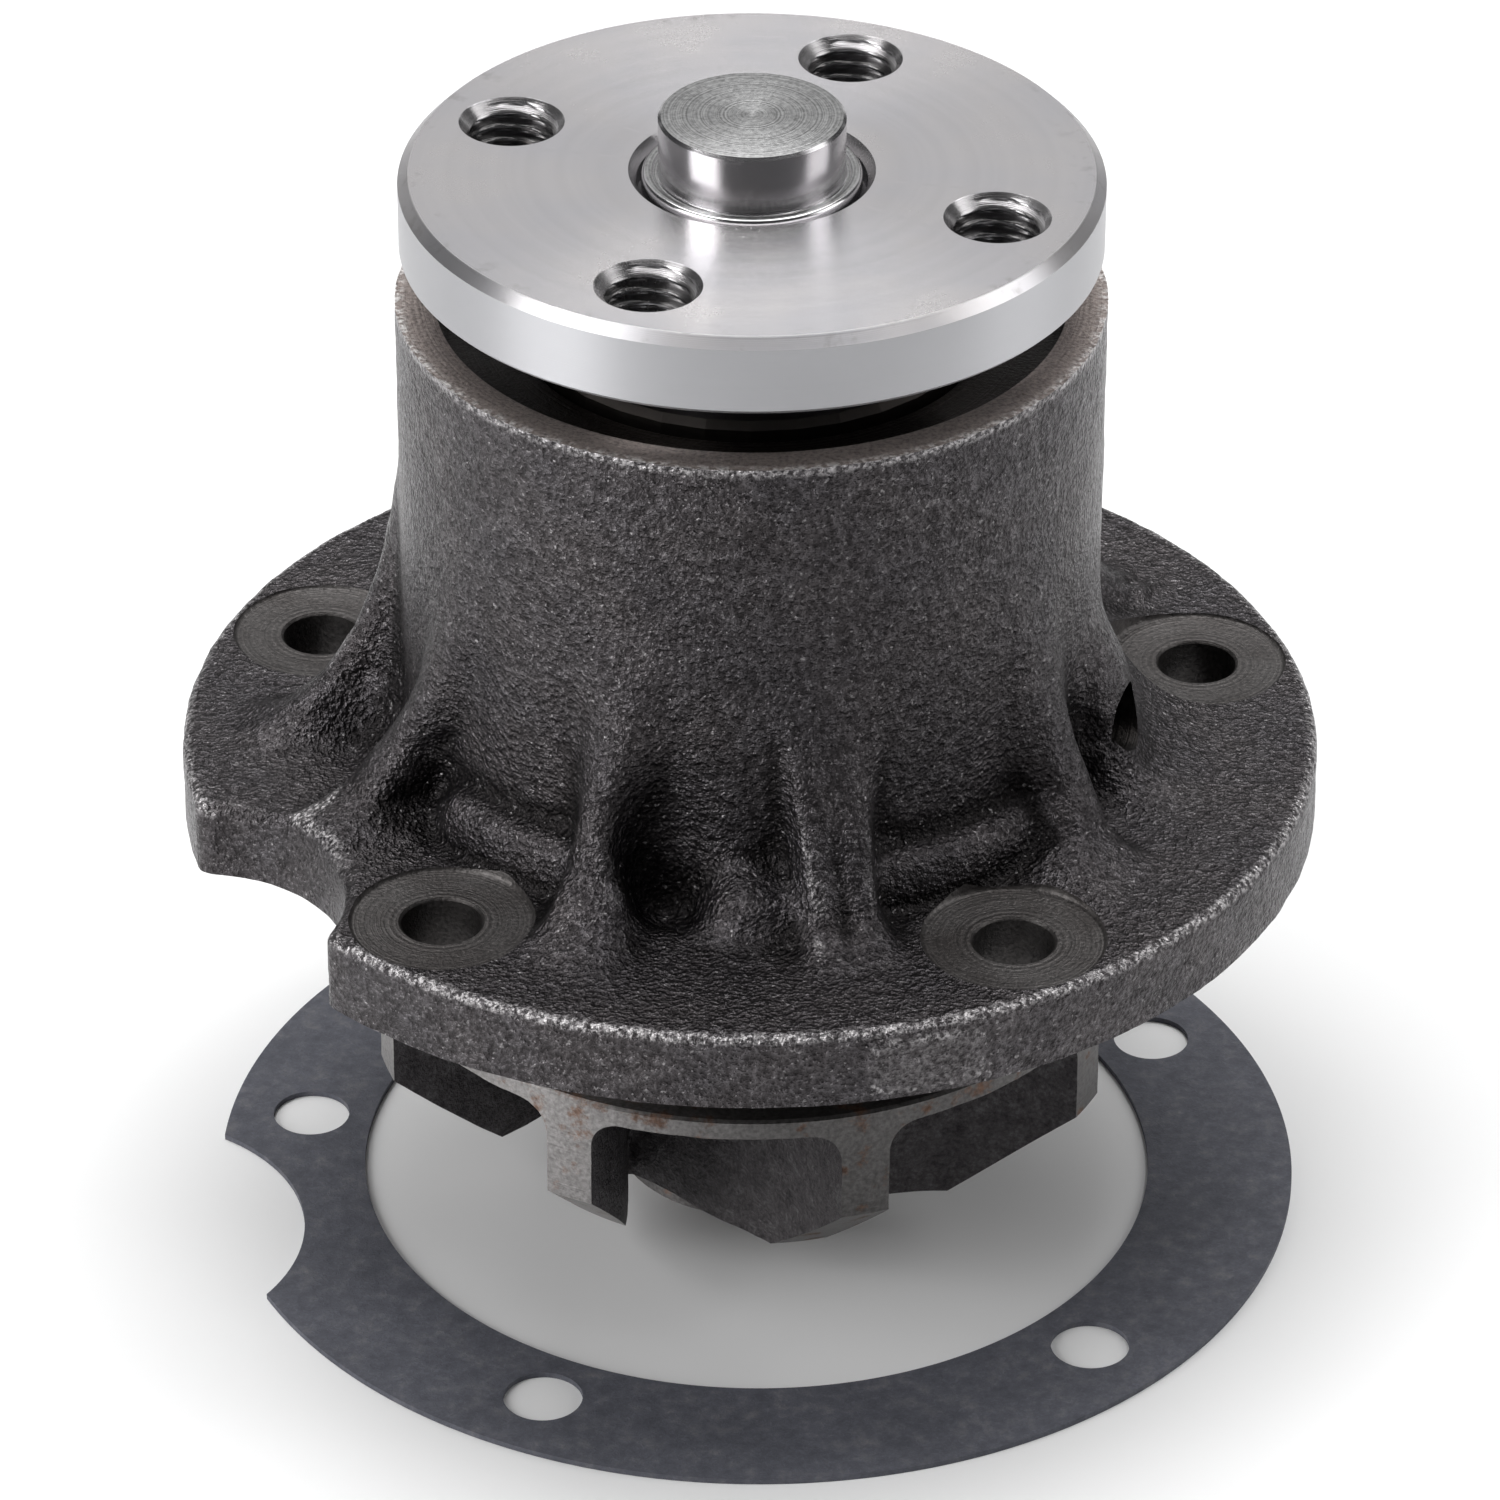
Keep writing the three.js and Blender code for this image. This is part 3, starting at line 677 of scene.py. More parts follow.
def ground_steel():
    """Ground shaft: bright round its side, dull where its end was faced."""
    look = Look("ground_steel", Metallic=1.0, Anisotropic=0.5, Anisotropic_Rotation=0.25)
    place = look.tool_place()
    marks = look.rings(place, 0.16, 4)
    streaks = look.streaks(place, 0.12, 3)
    facing = look.node("ShaderNodeNewGeometry").outputs["True Normal"]
    normal_z = look.node("ShaderNodeSeparateXYZ", Vector=facing)
    end_face = look.spread(normal_z.outputs[2], 0.0, 1.0, 0.85, 0.95)
    grain = look.grain(0.35, 3, 0.6)
    faced = look.maths("ADD", look.maths("MULTIPLY", grain, 0.5), look.maths("MULTIPLY", marks, 0.5))
    tone = look.blend(end_face, (0.52, 0.51, 0.52), look.ramp(faced, (0.36, 0.17), (0.64, 0.46)))
    look.feed("Base Color", tone)
    gloss = look.maths("ADD", look.spread(end_face, 0.20, 0.36), look.spread(grain, -0.02, 0.03))
    look.feed("Roughness", gloss)
    side = look.bump(streaks, 0.004)
    look.feed("Normal", look.bump(look.maths("MULTIPLY", faced, end_face), 0.05, side))
    look.turned_tangent()
    return look.material


def impeller_cast():
    """Cast face of the impeller: dark and finely grained."""
    look = Look("impeller_cast_skin", Metallic=0.65)
    fine = look.grain(0.36, 3, 0.62)
    coarse = look.grain(1.4, 2, 0.5)
    relief = look.maths("ADD", look.maths("MULTIPLY", fine, 0.6), look.maths("MULTIPLY", coarse, 0.5))
    tone = look.ramp(relief, (0.34, (0.022, 0.02, 0.022)), (0.58, (0.066, 0.060, 0.063)), (0.8, 0.12))
    look.feed("Base Color", tone)
    look.feed("Roughness", look.spread(fine, 0.58, 0.42, 0.35, 0.7))
    look.feed("Normal", look.bump(relief, 0.3))
    return look.material


def impeller_turned():
    """Turned face of the impeller: light grey with brown rust specks, and painted shade that darkens it
    towards +X.
    """
    look = Look("impeller_turned", Metallic=0.9, Anisotropic=0.7, Anisotropic_Rotation=0.25)
    place = look.tool_place()
    marks = look.rings(place, 0.2, 4)
    streaks = look.streaks(place, 0.16, 4)
    grain = look.grain(0.4, 3, 0.6)
    tone = look.ramp(grain, (0.3, (0.15, 0.143, 0.141)), (0.7, (0.29, 0.28, 0.276)))
    patches = look.grain(2.6, 5, 0.65)
    # Painted shade: the tone darkens towards +X.
    sideways = look.node("ShaderNodeSeparateXYZ", Vector=look.millimetres(look.place)).outputs[0]
    tone = look.blend(1.0, tone, look.spread(sideways, 1.05, 0.48, -12.0, 2.0), "MULTIPLY")
    rust = look.spread(patches, 0.0, 0.8, 0.56, 0.66)
    rust_tone = look.ramp(grain, (0.3, (0.10, 0.05, 0.03)), (0.7, (0.22, 0.13, 0.09)))
    look.feed("Base Color", look.blend(rust, tone, rust_tone))
    look.feed("Roughness", look.spread(rust, 0.38, 0.7))
    side = look.bump(streaks, 0.02)
    look.feed("Normal", look.bump(marks, 0.02, side))
    look.turned_tangent()
    return look.material


def fibre_paper():
    """Dark blue-grey gasket paper, mottled with light fibres."""
    look = Look("gasket_fibre", Metallic=0.0, Specular_IOR_Level=0.35)
    mottle = look.grain(1.5, 4, 0.65)
    fibre = look.grain(0.5, 3, 0.7, 1.4)
    cloud = look.grain(11, 2, 0.5)
    tone = look.ramp(
        mottle,
        (0.32, (0.084, 0.087, 0.105)),
        (0.52, (0.107, 0.110, 0.132)),
        (0.75, (0.16, 0.158, 0.172)),
    )
    flecks = look.ramp(fibre, (0.4, 0.84), (0.6, 1.0), (0.76, 1.25))
    shade = look.ramp(cloud, (0.35, 0.92), (0.65, 1.06))
    look.feed("Base Color", look.blend(1.0, look.blend(1.0, tone, flecks, "MULTIPLY"), shade, "MULTIPLY"))
    look.feed("Roughness", look.spread(fibre, 0.62, 0.8))
    look.feed("Normal", look.bump(look.maths("ADD", fibre, mottle), 0.05))
    return look.material


def inner_metal(name, colour, roughness):
    """A plain inner metal part with faint turning marks."""
    look = Look(name, Metallic=1.0)
    grain = look.grain(0.8, 3, 0.6)
    light = tuple(min(1.0, c * 1.12) for c in colour)
    look.feed("Base Color", look.ramp(grain, (0.35, colour), (0.65, light)))
    look.feed("Roughness", look.spread(grain, roughness - 0.05, roughness + 0.08))
    look.feed("Normal", look.bump(look.streaks(look.place, 0.12 * MM, 3), 0.004))
    return look.material


def inner_moulding(name, colour, roughness, grain_size=0.5):
    """A plain inner part of rubber, carbon, ceramic or nylon."""
    look = Look(name, Metallic=0.0)
    grain = look.grain(grain_size, 4, 0.6)
    light = tuple(min(1.0, c * 1.3 + 0.004) for c in colour)
    look.feed("Base Color", look.ramp(grain, (0.35, colour), (0.7, light)))
    look.feed("Roughness", look.spread(grain, roughness - 0.06, roughness + 0.08))
    look.feed("Normal", look.bump(grain, 0.012))
    return look.material


# ---------- housing ----------
def rib_line(top, *points):
    """The ridge from its top point down, with a run-out above it that sinks into the barrel."""
    height, angle, radius, half_thickness = top
    run_out = (height + RIB_RUN_OUT_RISE, angle, radius - RIB_RUN_OUT_DEPTH, half_thickness)
    return np.array(sorted((run_out, top, *points)))


# The front and left ribs: the blend at their sides, then each ridge from its top down
# as (height, angle, radius, half thickness) points.
SHAPED_RIBS = [
    (3.0, (66, 175, 28.9, 0.9), (58.3, 178, 31.4, 1.2), (52.8, 179, 33.6, 1.5),
     (48.5, 180, 36.4, 1.8), (44, 182, 42, 2.4)),
    (2.8, (63, -146, 28.9, 1.6), (57, -150, 30.8, 2.0), (50.6, -155, 33.2, 2.3),
     (46, -156, 36.4, 2.6), (43.5, -151, 43, 3.0)),
    (2.4, (67, -110, 28.5, 2.4), (60, -111, 30.5, 2.6), (54, -111.5, 32.4, 2.7),
     (48.5, -112, 34.6, 2.8), (43.6, -111.5, 41, 3.6)),
    (2.2, (64, -77.3, 28.2, 3.0), (57, -77.3, 30.5, 3.1), (50, -77.3, 32.9, 3.2),
     (46, -77.3, 35.3, 3.3), (43.6, -77.3, 39, 3.4)),
    (1.6, (62, -81.9, 28.0, 0.7), (55, -81.4, 30.9, 0.6), (50, -80.8, 33.3, 0.6),
     (46, -80.2, 35.8, 0.7), (43.6, -80, 39.8, 1.0)),
    (1.6, (60, -73, 28.0, 0.7), (54, -73.5, 30.8, 0.6), (50, -74, 32.8, 0.6),
     (46, -74.6, 35.3, 0.7), (43.6, -75, 38.8, 1.0)),
    (3.0, (64, -38, 28.6, 2.2), (55, -35.8, 31.4, 2.5), (49.5, -35, 33.6, 2.7),
     (46, -37, 36.0, 2.9), (43.6, -41, 40.0, 3.4)),
]
# Plain ribs for the hidden back, all alike: angles, and the ridge as (height, radius, half thickness).
PLAIN_RIB_ANGLES = (34, 67, 107, 139)
PLAIN_RIB_RIDGE = ((65, 29.0, 1.0), (57, 31.2, 1.4), (50, 34.2, 1.8), (44, 40, 2.6))
PLAIN_RIB_BLEND = 3.0

RIBS = [(rib_line(*ridge), blend) for blend, *ridge in SHAPED_RIBS]
for rib_angle in PLAIN_RIB_ANGLES:
    plain_ridge = [(height, rib_angle, radius, half) for height, radius, half in PLAIN_RIB_RIDGE]
    RIBS.append((rib_line(*plain_ridge), PLAIN_RIB_BLEND))

# Width of the fillet between barrel and flange round the pump: wide at the right, tight between the ribs.
FLARE_ANGLES = (-180, -160, -150, -35, -18, 30, 60, 150, 180)
FLARE_BLENDS = (9, 7.0, 3.2, 3.2, 12, 13, 9, 9, 9)

# Raised pads as (angle, radius, height), half sizes across, outwards and up, and blend.
PADS = [
    ((-90.0, 31.2, 44.6), (3.4, 3.1, 3.3), 3.2),
    ((-41, 35.0, 44.2), (2.6, 2.2, 1.4), 1.6),
    ((-14, 29.6, 49.6), (4.6, 3.3, 7.4), 3.0),
]
# Shelves behind the front spotfaces: start and end angle, radius and height of the middle, and half sizes.
SHELVES = [
    (-140, -118, 30.4, 45.4, (3.6, 1.75, 3.3)),
    (-70, -47, 30.4, 45.4, (3.6, 1.75, 3.2)),
]
# Pockets between the ribs, described like the pads.
POCKETS = [
    ((-170, 34.0, 50.5), (4.2, 3.6, 6.0)),
    ((-103.5, 31.4, 50.5), (3.4, 2.4, 5.8)),
    ((-25, 32.6, 49.5), (1.4, 2.8, 3.8)),
]
# Patches where the sand left wrinkles, described like the pads.
WRINKLED = [
    ((-171, 33.0, 50.0), (5.5, 5.0, 8.0)),
    ((-147, 31.5, 49.5), (2.8, 3.5, 6.0)),
    ((-23, 31.5, 50.0), (2.6, 3.5, 4.5)),
    ((33, 39.5, 45.0), (5.0, 4.0, 5.0)),
]


def shelf_field(r, angle, z, start, end, ridge_r, ridge_z, size):
    """A rounded bar that follows the barrel from one angle to another, with tapered ends."""
    half = (end - start) / 2
    past = np.maximum(np.abs(turn_difference(angle, start + half)) - half, 0)
    across = ridge_r * np.radians(past) / size[0]
    outwards = (r - ridge_r) / size[1]
    up = (z - ridge_z) / size[2]
    return (np.sqrt(across**2 + outwards**2 + up**2) - 1) * min(size)


def rib_field(r, angle, z, line):
    """A web with a rounded ridge along line, from inside the flange up."""
    centre, ridge, half_thickness = (np.interp(z, line[:, 0], line[:, i]) for i in (1, 2, 3))
    across = r * np.radians(turn_difference(angle, centre))
    rounding = np.minimum(1.2 * half_thickness, 2.4)
    web = smooth_max(np.abs(across) - half_thickness, (r - ridge) * 0.85, rounding)
    return np.maximum(web, np.maximum(z - line[-1, 0], FLANGE_BOTTOM_Z + 1 - z))


def gate_outline(angle, z):
    """Signed distance, on the flange's edge, to the outline of the broken-off gate."""
    across = FLANGE_R * np.radians(turn_difference(angle, GATE_ANGLE))
    return rounded_box(across, z - GATE_Z, GATE_SIZE[0] / 2, GATE_SIZE[1] / 2, GATE_CORNER)


def housing_field(x, y, z):
    """The cast housing before any machining: a signed distance near its skin."""
    r = np.hypot(x, y)
    angle = np.degrees(np.arctan2(y, x))
    barrel = np.maximum(r - BARREL_R, z - RIM_Z - 2)
    middle_z = (FLANGE_TOP_Z + FLANGE_BOTTOM_Z - 3) / 2
    disc = rounded_box(r, z - middle_z, FLANGE_R, FLANGE_TOP_Z - middle_z, FLANGE_EDGE)
    body = smooth_min(barrel, disc, np.interp(angle, FLARE_ANGLES, FLARE_BLENDS))
    for line, blend in RIBS:
        body = smooth_min(body, rib_field(r, angle, z, line), blend)
    for centre, size, blend in PADS:
        body = smooth_min(body, ellipsoid(r, angle, z, centre, size), blend)
    for start, end, ridge_r, ridge_z, size in SHELVES:
        body = smooth_min(body, shelf_field(r, angle, z, start, end, ridge_r, ridge_z, size), 1.2)
    for centre, size in POCKETS:
        body = smooth_max(body, -ellipsoid(r, angle, z, centre, size), 2.2)
    gate = np.maximum(gate_outline(angle, z), np.abs(r - FLANGE_R + 1) - 1 - GATE_RISE)
    body = smooth_min(body, gate, 0.4)
    nose = np.maximum(r - NOSE_R - 1, z - FLANGE_TOP_Z)
    body = np.maximum(np.minimum(body, nose), NOSE_Z - 1 - z)
    notch_x = NOTCH_CENTRE_R * math.cos(math.radians(NOTCH_ANGLE))
    notch_y = NOTCH_CENTRE_R * math.sin(math.radians(NOTCH_ANGLE))
    return smooth_max(body, NOTCH_R - np.hypot(x - notch_x, y - notch_y), 1.3)


def housing_roughness(points):
    r = np.hypot(points[:, 0], points[:, 1])
    angle = np.degrees(np.arctan2(points[:, 1], points[:, 0]))
    wrinkled = np.zeros(len(points))
    for centre, size in WRINKLED:
        inside = -ellipsoid(r, angle, points[:, 2], centre, size) / min(size)
        wrinkled = np.maximum(wrinkled, smooth_step(0, 0.5, inside))
    heights = 0.05 * lumps(points, 1.3) + 0.07 * lumps(points, 4.5)
    return heights + 0.5 * wrinkled * lumps(points, 1.6)


def housing_wear_and_painted_light(points):
    """From 1, lightened on outer edges as worn metal with a painted highlight and on the rim's lip as worn
    metal, to -1, painted shade in the creases beside the ribs.
    """
    r = np.hypot(points[:, 0], points[:, 1])
    angle = np.degrees(np.arctan2(points[:, 1], points[:, 0]))
    skin = smooth_step(RIM_Z - 3, RIM_Z - 6, points[:, 2])
    # Outer edges are lightened: worn metal, and a painted highlight along them.
    edges = skin * smooth_step(0.6, 1.25, convexity(housing_field, points))
    # Painted shade: the creases beside the ribs get negative values.
    hollow_shade = skin * smooth_step(-0.08, -0.34, convexity(housing_field, points, 2.2))
    hollow_shade *= smooth_step(SPOTFACE_Z - 0.5, SPOTFACE_Z + 0.5, points[:, 2])
    lip = smooth_step(0.9, 0.2, RIM_Z - points[:, 2]) * smooth_step(BARREL_R - 0.8, BARREL_R - 0.3, r)
    stub = 0.2 * smooth_step(0.6, -0.6, gate_outline(angle, points[:, 2])) * (r > FLANGE_R - 1)
    return np.clip(edges + lip + stub - hollow_shade, -1, 1)


def housing_envelope():
    """Everything the lathe leaves: a ring whose outside stays clear of the cast skin."""
    clear = FLANGE_R + 12
    lip = 0.25
    recess_z = RIM_Z - RECESS_DEPTH
    return [
        (SEAL_BORE_R + lip, NOSE_Z),
        (NOSE_R - 2 * lip, NOSE_Z),
        (NOSE_R, NOSE_Z + 2 * lip),
        (NOSE_R, FLANGE_BOTTOM_Z - lip),
        (NOSE_R + lip, FLANGE_BOTTOM_Z),
        (clear, FLANGE_BOTTOM_Z),
        (clear, RIM_Z),
        (RECESS_R + RECESS_CHAMFER[0], RIM_Z),
        (RECESS_R, RIM_Z - RECESS_CHAMFER[1]),
        (RECESS_R, recess_z + 0.4),
        (RECESS_R - 0.4, recess_z),
        (BEARING_BORE_R + 0.5, recess_z),
        (BEARING_BORE_R, recess_z - 0.5),
        (BEARING_BORE_R, BEARING_SEAT_Z),
        (CAVITY_R, BEARING_SEAT_Z),
        (CAVITY_R, SEAL_BORE_TOP_Z),
        (SEAL_BORE_R, SEAL_BORE_TOP_Z),
        (SEAL_BORE_R, NOSE_Z + lip),
    ]


def spotface_tool(x, y):
    """A counterbore with its pilot: it leaves the seat, its round corner and the bolt hole."""
    corner = 0.45
    low = FLANGE_BOTTOM_Z - 2
    top = FLANGE_TOP_Z + 20
    profile = [(0, low), (BOLT_HOLE_R, low), (BOLT_HOLE_R, SPOTFACE_Z - 0.2)]
    profile += [(BOLT_HOLE_R + 0.2, SPOTFACE_Z)]
    profile += arc(SPOTFACE_R - corner, SPOTFACE_Z + corner, corner, -90, 0, 4)
    profile += [(SPOTFACE_R, top), (0, top)]
    return turned_mesh(profile, 96, (x, y))


def weep_drill():
    """A radial drill from the drain space to the outside."""
    points, faces = turned_mesh(rod_profile(WEEP_R, CAVITY_R - 4, WEEP_DRILL_END_R), 64)
    turn = Matrix.Rotation(math.radians(WEEP_ANGLE), 3, "Z") @ Matrix.Rotation(math.radians(90), 3, "Y")
    placed = [turn @ Vector(p) + Vector((0, 0, WEEP_Z)) for p in points]
    return placed, faces


def make_housing(skin, machined):
    """The housing; its skin is held inside the CAD node's sides."""
    reach = FLANGE_R + 1.3
    step = 0.5
    grid = (-reach, -reach, NOSE_Z - 2), (reach, reach, RIM_Z + 3)
    limits = housing_low, housing_high
    body = casting("housing_cast", housing_field, grid, step, housing_roughness, limits, skin)
    cut(body, turned("housing_envelope", housing_envelope(), machined, 256), "INTERSECT")
    tools = [spotface_tool(x, y) for x, y in BOLT_AXES] + [weep_drill()]
    cut(body, joined("drills", tools, machined))
    smooth(body, 42)
    mark_tool_place(body, BOLT_AXES)
    mark_wear_and_painted_light(body, housing_wear_and_painted_light)
    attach(body, "housing_body")
    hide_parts("housing")


# ---------- hub flange ----------
def thread_tool(x, y):
    """A tapping tool: a rod whose radius follows a screw thread, widening to the countersink at the face."""
    sides, rows = 48, 92
    steepness, crest = 1.35, 0.25
    low, high = HUB_FACE_Z - HUB_THICKNESS - 1, HUB_FACE_Z + 1.2
    points = [(x, y, low)]
    for i in range(rows + 1):
        z = low + (high - low) * i / rows
        sink = THREAD_SINK_R - (HUB_FACE_Z - z)
        for j in range(sides):
            turn = j / sides
            phase = (z / THREAD_PITCH - turn) % 1
            depth = min(max(abs(2 * phase - 1) * steepness - crest, 0), 1)
            radius = max(THREAD_MINOR_R + (THREAD_MAJOR_R - THREAD_MINOR_R) * depth, sink)
            a = 2 * math.pi * turn
            points.append((x + radius * math.cos(a), y + radius * math.sin(a), z))
    points.append((x, y, high))
    faces = []
    for j in range(sides):
        k = (j + 1) % sides
        faces.append([0, 1 + k, 1 + j])
        top = 1 + rows * sides
        faces.append([len(points) - 1, top + j, top + k])
        for i in range(rows):
            a = 1 + i * sides
            faces.append([a + j, a + k, a + sides + k, a + sides + j])
    return points, faces


def hub_profile():
    back_z = HUB_FACE_Z - HUB_THICKNESS
    bore = SHAFT_R + 0.1
    chamfer = 0.85
    lower = 0.4
    return [
        (bore, HUB_BOSS_Z),
        (HUB_BOSS_R - 0.4, HUB_BOSS_Z),
        (HUB_BOSS_R, HUB_BOSS_Z + 0.4),
        (HUB_BOSS_R, back_z),
        (HUB_R - lower, back_z),
        (HUB_R, back_z + lower),
        (HUB_R, HUB_FACE_Z - chamfer),
        (HUB_R - chamfer, HUB_FACE_Z),
        (HUB_BORE_CHAMFER_R, HUB_FACE_Z),
        (bore + 0.35, HUB_FACE_Z - 0.9),
        (bore + 0.35, HUB_FACE_Z - 2.5),
        (bore, HUB_FACE_Z - 2.8),
    ]


def make_hub(look):
    hub = turned("hub_disc", hub_profile(), look, 256)
    cut(hub, joined("taps", [thread_tool(x, y) for x, y in TAP_AXES], look))
    smooth(hub, 30)
    mark_tool_place(hub, TAP_AXES, THREAD_SINK_R + 0.05)
    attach(hub, "rotor")
    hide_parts("hub_flange")


# ---------- shaft ----------
def ball_groove(face_r, row_z):
    """Half-round groove for a row of balls, listed upwards."""
    half = math.degrees(math.acos((BALL_PITCH_R - face_r) / GROOVE_R))
    return arc(BALL_PITCH_R, row_z, GROOVE_R, 180 + half, 180 - half, 10)


def shaft_profile():
    relief = 0.28
    profile = [(0, 0), (SHAFT_LOWER_R - 0.5, 0), (SHAFT_LOWER_R, 0.5), (SHAFT_LOWER_R, SHAFT_STEP_Z)]
    profile += [(SHAFT_R - 0.4, SHAFT_STEP_Z), (SHAFT_R, SHAFT_STEP_Z + 0.4)]
    for row_z in BALL_ROWS_Z:
        profile += ball_groove(SHAFT_R, row_z)
    profile += arc(SHAFT_R - 0.45, HUB_FACE_Z - 0.45, 0.45, 0, 90, 4)
    profile += arc(STUB_R + 0.25, HUB_FACE_Z - 0.02, relief, -10, -170, 6)
    profile += [(STUB_R - 0.03, HUB_FACE_Z + 0.5), (STUB_R, HUB_FACE_Z + 0.6)]
    profile += [(STUB_R, STUB_TOP_Z - 0.3), (STUB_R - 0.25, STUB_TOP_Z - 0.05)]
    profile += [(STUB_R - 0.5, STUB_TOP_Z), (0.35, STUB_TOP_Z), (0, STUB_TOP_Z - 0.05)]
    return profile


def make_shaft(look):
    shaft = turned("pump_shaft", shaft_profile(), look, 192)
    smooth(shaft, 25)
    mark_tool_place(shaft)
    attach(shaft, "rotor")
    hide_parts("shaft")


# ---------- impeller ----------
def vane_field(x, y):
    """Distance in the XY plane to one vane: a thick arc from the rim to the boss."""
    r = np.hypot(x - VANE_CENTRE[0], y - VANE_CENTRE[1])
    angle = np.degrees(np.arctan2(y - VANE_CENTRE[1], x - VANE_CENTRE[0]))
    back_r = VANE_CURVE_R + VANE_THICKNESS
    face_r = VANE_CURVE_R + VANE_THICKNESS * smooth_step(*VANE_FAIRING, angle)
    wall = np.maximum(face_r - r, r - back_r)
    low, high = VANE_SWEEP
    beyond = np.radians(np.abs(turn_difference(angle, (low + high) / 2)) - (high - low) / 2) * back_r
    return np.maximum(wall, beyond)


def impeller_field(x, y, z):
    """The cast impeller before any machining: boss, back plate and swept vanes."""
    r = np.hypot(x, y)
    boss = (r - np.interp(z, CONE_HEIGHTS, CONE_RADII)) * 0.95
    plate = np.maximum(PLATE_BOTTOM_Z - z, r - IMPELLER_R - 1.5)
    body = smooth_min(boss, plate, 3.0)
    angle = np.degrees(np.arctan2(y, x))
    turn = np.round(turn_difference(angle, VANE_PHASE - 14) / (360 / VANE_COUNT)) * (360 / VANE_COUNT)
    vanes = None
    for extra in (-360 / VANE_COUNT, 0, 360 / VANE_COUNT):
        a = -np.radians(turn + extra)
        vane = vane_field(x * np.cos(a) - y * np.sin(a), x * np.sin(a) + y * np.cos(a))
        vanes = vane if vanes is None else np.minimum(vanes, vane)
    vanes = np.maximum(vanes, VANE_FLAT_Z - 1.5 - z)
    vanes = np.maximum(vanes, 13 - r)
    body = smooth_min(body, vanes, 3.2)
    ends = np.maximum(z - PLATE_TOP_Z - 1, -1 - z)
    return np.maximum(body, np.maximum(ends, r - IMPELLER_R - 1.2))


def impeller_roughness(points):
    return 0.045 * lumps(points, 1.2) + 0.06 * lumps(points, 4)


def impeller_envelope():
    bore = SHAFT_LOWER_R + 0.1
    return [
        (bore + 0.4, 0),
        (BOSS_R - 0.35, 0),
        (BOSS_R, 0.35),
        (BOSS_R, 2.0),
        (BOSS_R + 0.9, 2.15),
        (VANE_FLAT_R - 7.6, VANE_FLAT_Z),
        (VANE_FLAT_R, VANE_FLAT_Z),
        (IMPELLER_R, VANE_RIM_Z),
        (IMPELLER_R, PLATE_TOP_Z - 0.25),
        (IMPELLER_R - 0.25, PLATE_TOP_Z),
        (SEAL_POCKET_R, PLATE_TOP_Z),
        (SEAL_POCKET_R, SEAL_POCKET_Z),
        (bore, SEAL_POCKET_Z),
        (bore, 0.4),
    ]


def make_impeller(skin, machined):
    """The impeller; its limits lie outside the casting, because the lathe cuts every side."""
    reach = IMPELLER_R + 2
    step = 0.42
    grid = (-reach, -reach, -2), (reach, reach, PLATE_TOP_Z + 2)
    limits = impeller_low - reach, impeller_high + reach
    body = casting("impeller_cast", impeller_field, grid, step, impeller_roughness, limits, skin)
    cut(body, turned("impeller_envelope", impeller_envelope(), machined, 192), "INTERSECT")
    smooth(body, 42)
    mark_tool_place(body)
    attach(body, "rotor")
    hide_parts("impeller")


# ---------- gasket ----------
def make_gasket(look):
    """A thin flat ring of fibre paper, with its holes and notch punched out."""
    sides, bands = 360, 10
    radii = np.linspace(GASKET_INNER_R, GASKET_R, bands + 1)
    profile = [(r, 0.0) for r in radii] + [(r, GASKET_THICKNESS) for r in radii[::-1]]
    points, faces = turned_mesh(profile, sides, GASKET_CENTRE)
    ring = mesh_object("gasket_sheet", points, faces, look)
    low, high = -2, GASKET_THICKNESS + 2
    punches = []
    for x, y in GASKET_HOLES:
        punches.append(turned_mesh(rod_profile(BOLT_HOLE_R, low, high), 64, (x, y)))
    turn = math.radians(GASKET_NOTCH_ANGLE)
    notch_x = GASKET_CENTRE[0] + GASKET_NOTCH_CENTRE_R * math.cos(turn)
    notch_y = GASKET_CENTRE[1] + GASKET_NOTCH_CENTRE_R * math.sin(turn)
    punches.append(turned_mesh(rod_profile(GASKET_NOTCH_R, low, high), 128, (notch_x, notch_y)))
    cut(ring, joined("punches", punches, look))
    smooth(ring, 40)
    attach(ring, "gasket")
    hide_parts("flange_gasket")


# ---------- inner parts that keep their CAD shapes ----------
def finish_inner_parts():
    bearing = inner_metal("bearing_steel", (0.55, 0.55, 0.57), 0.2)
    pressed = inner_metal("pressed_steel", (0.5, 0.5, 0.51), 0.35)
    brass = inner_metal("seal_brass", (0.62, 0.46, 0.22), 0.3)
    rubber = inner_moulding("black_rubber", (0.018, 0.018, 0.019), 0.7)
    carbon = inner_moulding("seal_carbon", (0.025, 0.025, 0.027), 0.45, 0.3)
    ceramic = inner_moulding("seal_ceramic", (0.74, 0.70, 0.62), 0.3, 0.3)
    nylon = inner_moulding("cage_nylon", (0.42, 0.32, 0.18), 0.5)
    # The bearing's outer ring is given a very dark steel.
    dark_steel = inner_metal("dark_ring_steel", (0.05, 0.045, 0.042), 0.4)
    looks = {
        "bearing_outer_ring": dark_steel,
        "ball_cage": nylon,
        "ball_": bearing,
        "bearing_seal": rubber,
        "seal_cup": brass,
        "seal_spring": pressed,
        "seal_bellows": rubber,
        "seal_carbon_ring": carbon,
        "seal_mating_ring": ceramic,
        "mating_ring_boot": rubber,
        "slinger": pressed,
    }
    for name, node in frame["nodes"].items():
        match = next((look for start, look in looks.items() if name.startswith(start)), None)
        if match is None:
            continue
        for material_slot in node.material_slots:
            material_slot.material = match


# ---------- studio ----------
CAMERA_PLACE = (0, -0.568398, 0.397694)
CAMERA_TILT = 57.8852
CAMERA_ROLL = 0.1985
CAMERA_LENS = 188.39
FLOOR_HALF = 3000
FLOOR_DROP = 0.02


